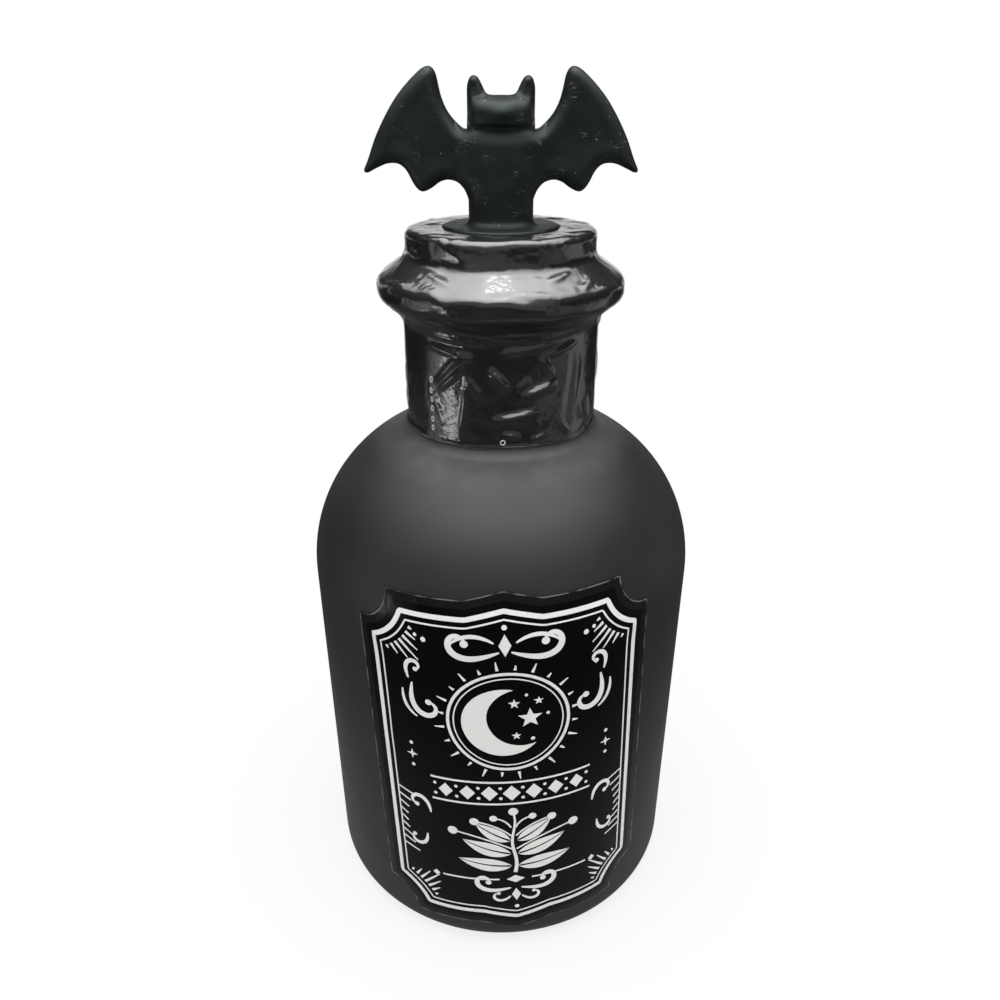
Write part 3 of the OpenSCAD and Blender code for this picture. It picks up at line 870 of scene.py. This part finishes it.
def star(x, y, r, points=5, deep=0.42, turn=0.0):
    """A star: corners alternate between r and deep*r, joined by straight sides."""
    a = np.linspace(0, 2*np.pi, 2*points + 1) + math.pi/2 + turn
    k = np.where(np.arange(2*points + 1) % 2, deep, 1.0)*r
    corners = np.stack([x + k*np.cos(a), y + k*np.sin(a)], -1)
    return fan((x, y), resampled(corners, 10*points + 1))


def lozenge(x, y, w, h):
    corners = np.array([[x + w, y], [x, y + h], [x - w, y], [x, y - h], [x + w, y]], float)
    return fan((x, y), resampled(corners, 25))


def flourish(start, heading, bend, length, power=2.0, n=44):
    """A curl: its heading turns by bend * t^power degrees along its length, and the line is
    the running sum of its steps."""
    t = np.linspace(0, 1, n)
    a = np.radians(heading + bend*t**power)
    step = np.stack([np.cos(a), np.sin(a)], -1)*length/(n - 1)
    return np.array(start, float) + np.vstack([[0, 0], np.cumsum(step[:-1], axis=0)])


def swelling(line, wide, narrow=0.3, power=0.8):
    """A ribbon that swells in its middle: narrow + (wide - narrow) sin(pi t)^power."""
    t = np.linspace(0, 1, len(line))
    return stroke(line, narrow + (wide - narrow)*np.sin(np.pi*t)**power, 3)


def curl(start, heading, bend, length, wide, power=2.0, ball=0.0):
    """A flourish in ink, with a ball at its inner end."""
    line = flourish(start, heading, bend, length, power)
    parts = [swelling(line, wide)]
    if ball:
        parts.append(dot(*line[-1], ball))
    return parts


def leaf(x, y, heading, length, wide, gap=0.26):
    """Two half blades either side of a bare rib, each length long, with an edge that swells
    as sin(pi t^0.8)^0.9."""
    t = np.linspace(0, 1, 26)
    line = flourish((x, y), heading - 9, 18, length, 1.0, 26)
    n = normals(line)[:, None]
    reach = wide*np.sin(np.pi*t**0.8)**0.9
    near = np.minimum(gap*(1 - t*0.6), reach)
    u = np.linspace(0, 1, 4)[None]
    halves = []
    for side in (-1, 1):
        off = side*mix(near[:, None], reach[:, None], u)
        halves.append(line[:, None] + n*off[..., None])
    return halves


def crescent(x, y, r, bite_r, bite_x, bite_y, n=60):
    """The part of a disc of radius r that a second disc leaves bare: for each step from one
    horn to the other, the cells run from the outer arc to the inner one."""
    apart = math.hypot(bite_x, bite_y)
    toward = math.atan2(bite_y, bite_x)
    along = (apart**2 + r**2 - bite_r**2)/(2*apart)
    half = math.sqrt(r**2 - along**2)
    outer_a = math.atan2(half, along)
    inner_a = math.atan2(half, along - apart)
    t = np.linspace(0, 1, n)
    a = toward + mix(outer_a, 2*np.pi - outer_a, t)
    b = toward + mix(inner_a, 2*np.pi - inner_a, t)
    outer = np.stack([x + r*np.cos(a), y + r*np.sin(a)], -1)
    inner = np.stack([x + bite_x + bite_r*np.cos(b), y + bite_y + bite_r*np.sin(b)], -1)
    u = np.linspace(0, 1, 7)[None, :, None]
    return mix(outer[:, None], inner[:, None], u)


def mirrored(parts):
    """The parts and their mirror images about the label's middle line."""
    return parts + [p*np.array([-1.0, 1.0]) for p in parts]


def label_ink(place):
    """The white design, a common night-garden ornament: frames, ray fans in the corners,
    scrolls, a moon among stars in a ring, a band of lozenges, and a sprig with berries."""
    parts = [closed_stroke(place.outline(3.6), 0.95), closed_stroke(place.outline(5.2), 0.34)]
    corner = np.array([place.half_w, place.half_h - LABEL_NOTCH/4])

    fans = []
    for up in (1, -1):
        for k, a in enumerate(np.radians(np.linspace(209, 241, 7))):
            ray = np.array([math.cos(a), math.sin(a)])
            ends = corner + ray*np.array([[13.3], [18.6 - 1.5*abs(k - 3)]])
            fans.append(stroke(resampled(ends, 8)*[1, up], np.linspace(0.66, 0.2, 8)))
    parts += mirrored(fans)

    head = curl((1.1, 31.3), -20, 312, 16.0, 1.3, 2.6, 0.75)
    head += curl((2.0, 33.2), 34, -84, 8.6, 0.8, 1.2)
    head += [dot(15.0, 32.9, 0.5), dot(16.6, 33.6, 0.36)]
    parts += mirrored(head) + [lozenge(0, 32.7, 1.15, 2.3), dot(0, 36.3, 0.5)]

    moon_y = 15.0
    parts += [closed_stroke(circle(0, moon_y, 11.5, 120), 0.62),
              closed_stroke(circle(0, moon_y, 10.4, 110), 0.26)]
    parts += [crescent(-0.9, moon_y, 8.0, 6.8, 3.6, 1.1), star(4.1, moon_y + 0.9, 2.4),
              star(1.2, moon_y + 4.5, 1.15), star(5.8, moon_y + 4.8, 0.95),
              star(1.4, moon_y - 3.2, 0.95), dot(7.5, moon_y + 1.5, 0.35),
              dot(4.5, moon_y - 4.2, 0.4), dot(3.5, moon_y + 6.4, 0.32)]
    for k, a in enumerate(np.radians(np.arange(0, 360, 15) + 7.5)):
        ray = np.array([math.cos(a), math.sin(a)])
        line = resampled(np.array([ray*12.4, ray*(13.5 if k % 2 else 14.4)]), 6) + [0, moon_y]
        parts.append(stroke(line, np.linspace(0.6, 0.2, 6)))

    side = curl((18.2, 22.6), -80, -290, 14.0, 1.25, 2.2, 0.66)
    side += curl((18.9, 23.4), 76, 285, 8.0, 0.9, 2.2, 0.5)
    side += curl((20.4, 20.6), -84, -70, 7.0, 0.7, 1.3)
    side += [star(19.8, 4.6, 1.25, 4, 0.3), dot(19.8, 1.8, 0.4), dot(19.8, 7.4, 0.4)]
    parts += mirrored(side)

    band_y = -2.9
    for y in (band_y + 2.9, band_y - 2.9):
        line = np.stack([np.linspace(-16.2, 16.2, 60), np.full(60, y)], -1)
        parts.append(stroke(line, 0.46))
    for k in range(-3, 4):
        parts.append(lozenge(4.4*k, band_y, 1.78 - 0.1*abs(k), 2.0 - 0.08*abs(k)))
    for k in range(-4, 4):
        for y in (1.35, -1.35):
            parts.append(dot(4.4*k + 2.2, band_y + y, 0.36))

    stem = flourish((0, -25.6), 90, 0, 17.2, 1.0)
    stem[:, 0] += 0.35*np.sin(np.linspace(0, 9, len(stem)))
    parts.append(stroke(stem, np.linspace(0.8, 0.4, len(stem)), 2))
    sprig = []
    for up, lean, length, wide in ((-23.6, 10, 11.2, 1.8), (-20.0, 22, 10.6, 1.8),
                                   (-16.2, 36, 8.6, 1.6)):
        sprig += leaf(0.7, up, lean, length, wide)
    for up, lean, bend, length, berry in ((-18.6, 34, -26, 13.0, 1.05), (-14.8, 50, -44, 8.6, 0.95),
                                          (-12.4, 70, -66, 4.6, 0.8)):
        twig = flourish((0.5, up), lean, bend, length, 1.0)
        sprig += [stroke(twig, 0.36), dot(*twig[-1], berry)]
    parts += mirrored(sprig) + [dot(0.1, -8.0, 1.0)]

    foot = curl((1.1, -30.3), -14, 322, 13.0, 1.15, 2.5, 0.62)
    foot += curl((1.2, -32.9), -46, 236, 6.2, 0.7, 1.8, 0.42)
    foot += [stroke(np.stack([np.linspace(3.4, 15.5, 30), np.full(30, -27.6)], -1), 0.42),
             lozenge(17.0, -27.6, 0.8, 0.8)]
    parts += mirrored(foot) + [lozenge(0, -27.6, 1.9, 1.1), lozenge(0, -32.4, 0.95, 1.9),
                               dot(0, -36.2, 0.5)]

    ladder = []
    for k in range(9):
        y = -5.6 - 2.0*k
        line = resampled(np.array([[22.6 - 0.13*(k - 4)**2, y - 1.1], [24.1, y]]), 5)
        ladder.append(stroke(line, 0.36))
    ladder += curl((16.9, -10.2), 84, -262, 9.0, 0.95, 1.9, 0.55)
    ladder += curl((18.2, -16.6), -86, 236, 7.6, 0.85, 1.9, 0.48)
    parts += mirrored(ladder)
    return parts


# Bat

# Half outlines, across from the middle and up from the flange's face, in millimetres
HEAD_TOP = ((0, 21.3), (1.6, 21.3), (2.6, 21.6), (3.2, 22.7), (3.9, 23.9), (4.7, 24.3),
            (5.4, 23.9), (5.8, 22.9), (5.9, 22))
WING_TOP = ((5.9, 15.9), (6.8, 16.1), (8, 17.2), (9.3, 18.8), (10.2, 20.7), (10.7, 22.6),
            (11.1, 24.4), (11.7, 25.4), (12.6, 25.69), (13.9, 25.1), (16.1, 23.2),
            (18.3, 20.8), (20.3, 17.9), (22.2, 14.5), (23.6, 11.2), (24.5, 9.4))
WING_FOOT = ((5.9, 4.2), (6.2, 5.1), (6.8, 6.2), (7.9, 7.2), (9.5, 7.6), (11, 7.2),
             (12.5, 6.2), (14, 5.6), (15, 6), (15.9, 7.2), (16.9, 9.1), (18.2, 10.2),
             (20.2, 10.3), (22.3, 9.5), (23.8, 8.8), (24.5, 8.9))
DRAWN_SPAN, DRAWN_H, DRAWN_STEM = 49.0, 25.7, 11.8
BODY_T, HEAD_T, MUZZLE_T, WING_T, EAR_T, EAR_DISH = 9.0, 10.0, 0.8, 4.8, 3.6, 0.3
STEM_FILLET = 1.2
BROW_UP = 2.2
SUNK = 0.4


def smooth_curve(points, n=8):
    """A Catmull-Rom curve through points: between b and c it is
    (2b + (c - a)t + (2a - 5b + 4c - d)t^2 + (3b - a - 3c + d)t^3)/2."""
    p = np.array(points, float)
    m = len(p) - 1
    a = p[np.maximum(np.arange(m) - 1, 0)][:, None]
    b, c = p[:-1][:, None], p[1:][:, None]
    d = p[np.minimum(np.arange(m) + 2, m)][:, None]
    t = (np.arange(n)/n)[None, :, None]
    q = (2*b + (c - a)*t + (2*a - 5*b + 4*c - d)*t**2 + (3*b - a - 3*c + d)*t**3)/2
    return np.vstack([q.reshape(-1, 2), p[-1:]])


class BatForm:
    """The bat's outline and its thickness from front to back."""

    def __init__(self, sizes):
        self.root = sizes.stem_w/MM/2
        self.tip = sizes.bat_span/MM/2
        self.tall = sizes.bat_h/MM/DRAWN_H
        self.head_z = 21.4*self.tall
        self.chin_z = 16.2*self.tall
        self.top_h, self.top_w, self.foot_w = (
            self.stretched(smooth_curve(line)) for line in (HEAD_TOP, WING_TOP, WING_FOOT))
        self.rim = np.vstack([self.top_h, self.top_w, self.foot_w[::-1], [[self.root, 0]]])

    def stretched(self, line):
        """Drawn points taken to the chosen sizes, about the stem's side."""
        x, y = line.T
        drawn = DRAWN_STEM/2
        wide = self.root + (x - drawn)*(self.tip - self.root)/(DRAWN_SPAN/2 - drawn)
        return np.stack([np.where(x <= drawn, x*self.root/drawn, wide), y*self.tall], -1)

    def inside(self, x, h):
        """Distance of each point from the nearest side of the outline."""
        q = np.stack([x, h], -1)[..., None, :]
        a, ab = self.rim[:-1], np.diff(self.rim, axis=0)
        t = np.clip(((q - a)*ab).sum(-1)/np.maximum((ab*ab).sum(-1), 1e-12), 0, 1)
        return np.linalg.norm(q - a - t[..., None]*ab, axis=-1).min(-1)

    def half_t(self, x, h, d):
        """Half the thickness: the wing and the ear are rounded slabs, the body is round in
        plan and spreads into the wings, the head is a rounded block that slopes back above
        its brow, and the four are blended as the fourth root of the sum of their fourth
        powers."""
        root, chin, head_z = self.root, self.chin_z, self.head_z
        middle = (x < root - 1e-6).astype(float)
        swell = 0.5*np.exp(-((x - root - 1)**2/8 + (h - chin + 2.6)**2/6))
        wing = ((mix(WING_T/2, WING_T/3, ease(root, self.tip, x)) + swell)
                * edge(d, 2.2)*(1 - 0.1*ease(1.6, 4.5, d))
                * (1 - middle*ease(chin - 1.2, chin + 0.8, h)))
        wide = root*(1 + 0.4*ease(4.5, 10, h))
        trunk = (BODY_T/2*np.sqrt(np.clip(1 - (x/wide)**2, 0, 1))
                 * mix(1, 0.78, ease(chin - 3, chin, h))*(1 - ease(chin + 0.4, chin + 2, h)))
        brow = chin + BROW_UP
        above = 0.75*(np.maximum(h - brow, 0)/(head_z - brow))**2.2
        below = 0.35*(np.maximum(brow - h, 0)/BROW_UP)**2.2
        head = (middle*HEAD_T/2*np.sqrt(np.maximum(0.1, 1 - 0.85*(x/root)**3 - above - below))
                * edge(np.minimum(d, np.maximum(head_z - h, 0)), 1.5)
                * ease(chin - 0.5, chin + 0.7, h))
        ear = middle*EAR_T/2*edge(d, 1.4)*ease(head_z - 3.2, head_z - 0.4, h)
        return (wing**4 + trunk**4 + head**4 + ear**4)**0.25

    def face(self, x, h, d):
        """How far the front stands out: a hump for the muzzle and a dish in each ear, each
        exp(-(u^2 + v^2)), fading at the outline."""
        hump = MUZZLE_T*np.exp(-((x/2.1)**2 + ((h - self.chin_z - BROW_UP)/1.6)**2))
        dish = EAR_DISH*np.exp(-(((abs(x) - 0.8*self.root)/0.75)**2
                                 + ((h - self.head_z - 1.1)/1.1)**2))
        return (hump*ease(self.chin_z, self.chin_z + 1, h) - dish)*edge(d, 1.4)

    def skin(self, x, h, rim):
        """Front and back grids of points over columns x and heights h, which meet where rim
        is true. The stem flares into the flange at its foot."""
        drop = np.clip(STEM_FILLET - np.maximum(h, 0), 0, None)
        g = 1 + np.where(drop > 0, STEM_FILLET - np.sqrt(STEM_FILLET**2 - drop**2), 0)/self.root
        d = self.inside(abs(x), h)
        t = np.where(rim, 0, self.half_t(abs(x), h, d)*g)
        f = np.where(rim, 0, self.face(x, h, d))
        z = h + FACE_Z
        return np.stack([x*g, -t - f, z], -1), np.stack([x*g, t, z], -1)

    def parts(self, low_n=14, mid_n=36, high_n=36, inner_n=28, outer_n=96):
        """The stem and head as one pair of grids and each wing as another, with shared points
        where they join."""
        root, tip = self.root, self.tip
        lo, hi = self.foot_w[0, 1], self.top_w[0, 1]
        level = (1 - np.cos(np.linspace(0, np.pi, mid_n + 1)))/2

        x = root*np.sin(np.linspace(-1, 1, 2*inner_n + 1)*np.pi/2)
        top = np.interp(abs(x), *self.top_h.T)
        low = np.concatenate([[-SUNK], lo*(np.arange(low_n - 1)/(low_n - 1))**1.5])
        high = mix(hi, top[:, None], np.sin(np.arange(1, high_n + 1)/high_n*np.pi/2)[None])
        h = np.hstack([np.tile(np.concatenate([low, mix(lo, hi, level)]), (len(x), 1)), high])
        across = np.repeat(x[:, None], h.shape[1], 1)
        row = np.arange(h.shape[1])[None]
        side = abs(across) > root - 1e-4
        rim = side & ((row <= low_n) | (row >= low_n + mid_n)) | (row == h.shape[1] - 1)
        grids = [self.skin(across, h, rim)]

        steep = self.stretched(np.array([[9.4, 0], [12.8, 0]]))[:, 0]
        places = np.interp(np.linspace(0, 1, outer_n + 1), [0, 0.24, 0.56, 1],
                           [root, *steep, tip])
        foot, crown = np.interp(places, *self.foot_w.T), np.interp(places, *self.top_w.T)
        h = mix(foot[:, None], crown[:, None], level[None])
        across = np.repeat(places[:, None], mid_n + 1, 1)
        row = np.arange(mid_n + 1)[None]
        rim = (row == 0) | (row == mid_n) | (across > tip - 1e-4)
        grids.append(self.skin(across, h, rim))
        grids.append(self.skin(-across[::-1], h[::-1], rim[::-1]))
        points, faces, start = [], [], 0
        for front, back in grids:
            n, m = front.shape[:2]
            for grid, flip in ((front, False), (back, True)):
                points.append(grid.reshape(-1, 3))
                faces.append(grid_quads(n, m, start, flip))
                start += n*m
        front, back = grids[0]
        sole = np.stack([front[:, 0], back[:, 0]], 1)
        points.append(sole.reshape(-1, 3))
        faces.append(grid_quads(len(sole), 2, start, True))
        return np.vstack(points), np.vstack(faces)


def flange_profile():
    """Half section of the round flange, as a closed turn from axis to axis."""
    return rounded([
        [0, FACE_Z - FLANGE_T, 0],
        [FLANGE_R, FACE_Z - FLANGE_T, 0.15],
        [FLANGE_R, FACE_Z, 0.5],
        [0, FACE_Z, 0]], 8)


# Operators and panel


class BOTTLE_OT_glass(bpy.types.Operator):
    """Makes the glass bottle in its matte coating"""

    bl_idname = "bottle.glass"
    bl_label = "Glass bottle"

    def execute(self, context):
        grid = revolved(glass_profile(), 300)
        piece = add_piece("glass_bottle", "vessel",
                          [(grid.reshape(-1, 3), grid_quads(*grid.shape[:2]))])
        piece.data.materials.append(coated_glass(context.scene.bottle_finishes))
        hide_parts("bottle")
        return {"FINISHED"}


class BOTTLE_OT_film(bpy.types.Operator):
    """Makes the shrink film, the marks of its tear row and a small trapped bubble"""

    bl_idname = "bottle.film"
    bl_label = "Shrink film"

    def execute(self, context):
        sizes, colours = context.scene.bottle_sizes, context.scene.bottle_finishes
        outer, inner, turn, gone = film_surface(sizes)
        piece = add_piece("shrink_film", "vessel", [slab(outer, inner)])
        piece.data.materials.append(clear_film(colours))
        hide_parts("shrink_band")

        marks = []
        first_up, pitch = 2.4, 1.9
        for k in range(6):
            at = film_frame(outer, turn, gone, math.radians(-43), first_up + k*pitch)
            marks.append(small_ring(*at, 0.3, 0.09, 1.55))
        at = film_frame(outer, turn, gone, math.radians(1), 1.0)
        marks.append(small_ring(*at, 0.42, 0.11))
        parts = [(m.reshape(-1, 3), grid_quads(*m.shape[:2])) for m in marks]
        row = add_piece("tear_marks", "vessel", parts)
        row.data.materials.append(frosted_edge(colours))

        # A thin tube along the film's lower edge, which carries a painted glint.
        rim = edge_tube(outer[:, 0], 0.07)
        rim = add_piece("film_rim_painted_glint", "vessel",
                        [(rim.reshape(-1, 3), grid_quads(*rim.shape[:2]))])
        rim.data.materials.append(cut_edge_painted_glint(colours))
        return {"FINISHED"}


class BOTTLE_OT_label(bpy.types.Operator):
    """Makes the label: its clear film, the black ground and the white ink"""

    bl_idname = "bottle.label"
    bl_label = "Label"

    def execute(self, context):
        place = LabelPlace(context.scene.bottle_sizes)
        colours = context.scene.bottle_finishes
        panel = place.panel(0.0)
        sheet = add_piece("label_sheet", "vessel",
                          [slab(place.lay(panel, SHEET_T), place.lay(panel, 0.0))],
                          math.radians(50))
        sheet.data.materials.append(label_clear(colours))
        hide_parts("label_film")

        panel = place.panel(GROUND_INSET)
        low = SHEET_T + 0.004
        ground = add_piece("label_ground", "vessel",
                           [slab(place.lay(panel, low + GROUND_T), place.lay(panel, low))],
                           math.radians(50))
        ground.data.materials.append(print_black(colours))

        low = low + GROUND_T + 0.004
        parts = [slab(place.lay(p, low + INK_T), place.lay(p, low)) for p in label_ink(place)]
        ink = add_piece("label_ink", "vessel", parts, math.radians(50))
        ink.data.materials.append(print_white(colours))

        # A thin ribbon along the label's outline, which carries a painted glint.
        low = SHEET_T + 0.004
        ribbon = closed_stroke(place.outline(0.16), 0.24)
        rim = add_piece("label_edge_painted_glint", "vessel",
                        [slab(place.lay(ribbon, low + INK_T), place.lay(ribbon, low))],
                        math.radians(50))
        rim.data.materials.append(cut_edge_painted_glint(colours))
        return {"FINISHED"}


class BOTTLE_OT_bat(bpy.types.Operator):
    """Makes the moulded bat with its flange"""

    bl_idname = "bottle.bat"
    bl_label = "Bat figure"

    def execute(self, context):
        form = BatForm(context.scene.bottle_sizes)
        flange = revolved(flange_profile(), 160)
        piece = add_piece("bat_and_flange", "stopper", [
            form.parts(), (flange.reshape(-1, 3), grid_quads(*flange.shape[:2]))])
        piece.data.materials.append(bat_resin(context.scene.bottle_finishes))
        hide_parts("bat_figure")
        return {"FINISHED"}


class BOTTLE_OT_plug(bpy.types.Operator):
    """Finishes the rubber plug and the steel stud, whose solids stay as they are"""

    bl_idname = "bottle.plug"
    bl_label = "Plug and stud"

    def execute(self, context):
        colours = context.scene.bottle_finishes
        for node, finish in (("stopper_plug", plug_rubber), ("stopper_stud", stud_steel)):
            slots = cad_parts[node].material_slots
            if not slots:
                raise RuntimeError(f"{node} has no material slot")
            for slot in slots:
                slot.material = finish(colours)
        return {"FINISHED"}


class BOTTLE_OT_stage(bpy.types.Operator):
    """Sets the camera, the lamps, the pale floor and the white background"""

    bl_idname = "bottle.stage"
    bl_label = "Stage"

    def lamp(self, name, place, aim, size, power, spread=180):
        """A soft lamp, size across and down, that faces a point. A spread under 180 degrees
        makes it fade towards its edges."""
        data = bpy.data.lights.new(name, "AREA")
        data.shape = "RECTANGLE"
        data.size, data.size_y = size
        data.energy = power
        data.spread = math.radians(spread)
        lamp = bpy.data.objects.new(name, data)
        lamp.location = place
        lamp.rotation_euler = (Vector(aim) - Vector(place)).to_track_quat("-Z", "Y").to_euler()
        bpy.context.collection.objects.link(lamp)

    def camera(self, context, stage):
        """The photograph's camera: a level pinhole that dips towards the bottle."""
        data = bpy.data.cameras.new("camera")
        data.sensor_width = 36
        data.lens = 36*stage.focal_px/PHOTO_PX
        data.clip_start = 0.01
        data.shift_x = -0.001
        camera = bpy.data.objects.new("camera", data)
        camera.location = (0, -stage.camera_back, stage.camera_z)
        camera.rotation_euler = (math.pi/2 - stage.camera_dip, 0, 0)
        context.collection.objects.link(camera)
        context.scene.camera = camera

    def seen(self, f, rays):
        """1 for the kinds of ray named, and 0 for the rest."""
        path = f.node("ShaderNodeLightPath").socket.node.outputs
        total = Value(f, path[rays[0]])
        for name in rays[1:]:
            total = total.math("MAXIMUM", Value(f, path[name]))
        return total

    def world(self, context, stage):
        """White behind the bottle, and a weaker even light for the surfaces. Gloss shows the
        white where it stands, low and behind the bottle, and a dim room elsewhere."""
        world = bpy.data.worlds.new("world")
        context.scene.world = world
        f = Finish(world)
        shown = self.seen(f, ("Is Camera Ray", "Is Transmission Ray"))
        glossy = self.seen(f, ("Is Glossy Ray",))
        _, back, up = f.parts_of(f.node("ShaderNodeTexCoord", output="Generated"))
        behind = back.smooth(0.88, 0.99)*(1 - up.smooth(0.05, 0.5)*0.7)
        white = (1, 1, 1, 1)
        seen = f.colour(glossy*(1 - behind), white, tuple(stage.room))
        strength = (shown + glossy)*(1 - stage.sky) + stage.sky
        sky = f.node("ShaderNodeBackground", None, {"Color": seen, "Strength": strength})
        f.show(sky, "ShaderNodeOutputWorld")

    def floor(self, context, stage):
        """A round pale floor. Near the bottle it shows its shadow, and farther out it fades
        into the white of the background. Gloss shows it half lit under the bottle, dim round
        it and white far behind it, with a bright patch at the left and dimmer ones at both
        sides, which the film's neck mirrors."""
        n, m = 64, 10
        r = 9.0/MM*np.linspace(0, 1, m)**3
        line = np.stack([r, np.zeros(m)], -1)
        grid = revolved(line, n)
        points, tris = welded(grid.reshape(-1, 3), grid_quads(n + 1, m))
        mesh = bpy.data.meshes.new("floor")
        mesh.from_pydata((points*MM).tolist(), [], tris.tolist())
        floor = bpy.data.objects.new("floor", mesh)
        floor.location = (0, 0, -0.0002)
        context.collection.objects.link(floor)
        material, f = new_material("floor")
        x, y, _ = f.parts_of(f.place())
        reach = (x*x + y*y).math("SQRT")
        shown = self.seen(f, ("Is Camera Ray", "Is Glossy Ray", "Is Transmission Ray"))
        glossy = self.seen(f, ("Is Glossy Ray",))
        turn = x.math("ARCTAN2", 0 - y)*(180/math.pi)
        left = (1 - abs(turn + 62).smooth(5, 13))*reach.smooth(0.26, 0.31)
        left = left*(1 - reach.smooth(0.44, 0.56))
        sides = (1 - abs(turn + 82).smooth(5, 13))*0.6 + (1 - abs(turn - 98).smooth(8, 24))*0.5
        sides = sides + (1 - abs(turn - 60).smooth(8, 24))*0.25
        patch = (left + sides*reach.smooth(0.2, 0.3)).math("MINIMUM", 1.0)
        dim = mix(0.6, 1.0, reach.smooth(0.045, 0.13))*(1 - y.smooth(1.0, 2.0))*(1 - patch)
        seen = f.colour(glossy*dim, (1, 1, 1, 1), tuple(stage.room))
        white = f.node("ShaderNodeEmission", None, {
            "Color": seen, "Strength": 1 + glossy*left*3.2})
        plain = f.node("ShaderNodeBsdfDiffuse", None, {"Color": (0.55, 0.55, 0.55, 1)})
        factor = shown*mix(0.8, 1.0, reach.smooth(0.09, 0.4)).math("MAXIMUM", glossy*0.93)
        f.show(f.node("ShaderNodeMixShader", None, {0: factor, 1: plain, 2: white}))
        mesh.materials.append(material)

    def execute(self, context):
        stage = context.scene.bottle_stage
        self.camera(context, stage)
        aim = (0, 0, 0.12)
        self.lamp("top lamp", (0.0, -0.13, 0.85), (0, -0.13, 0), (1.9, 1.2), stage.key_power, 120)
        self.lamp("front lamp", (0.03, -0.85, 0.5), aim, (2.0, 1.1), stage.front_power)
        self.lamp("spark", (0.012, -0.02, 0.7), aim, (0.03, 0.03), 0.1)
        self.world(context, stage)
        self.floor(context, stage)
        context.scene.view_settings.view_transform = "Standard"
        return {"FINISHED"}


class BOTTLE_PT_panel(bpy.types.Panel):
    """Lists the operators that make the bottle"""

    bl_idname = "BOTTLE_PT_panel"
    bl_label = "Apothecary bottle"
    bl_space_type = "VIEW_3D"
    bl_region_type = "UI"
    bl_category = "Bottle"

    def draw(self, context):
        for operator in OPERATORS:
            self.layout.operator(operator.bl_idname)
        for group in (context.scene.bottle_sizes, context.scene.bottle_finishes,
                      context.scene.bottle_stage):
            column = self.layout.column(align=True)
            for name in group.__annotations__:
                column.prop(group, name)


OPERATORS = (BOTTLE_OT_glass, BOTTLE_OT_film, BOTTLE_OT_label, BOTTLE_OT_bat, BOTTLE_OT_plug,
             BOTTLE_OT_stage)
GROUPS = {"bottle_sizes": BottleSizes, "bottle_finishes": BottleFinishes,
          "bottle_stage": BottleStage}


def register():
    for group in GROUPS.values():
        bpy.utils.register_class(group)
    for name, group in GROUPS.items():
        setattr(bpy.types.Scene, name, bpy.props.PointerProperty(type=group))
    for operator in OPERATORS:
        bpy.utils.register_class(operator)
    bpy.utils.register_class(BOTTLE_PT_panel)


def unregister():
    bpy.utils.unregister_class(BOTTLE_PT_panel)
    for operator in reversed(OPERATORS):
        bpy.utils.unregister_class(operator)
    for name in GROUPS:
        delattr(bpy.types.Scene, name)
    for group in reversed(GROUPS.values()):
        bpy.utils.unregister_class(group)


def main():
    register()
    for operator in OPERATORS:
        group, name = operator.bl_idname.split(".")
        getattr(getattr(bpy.ops, group), name)()


if __name__ == "__main__":
    main()
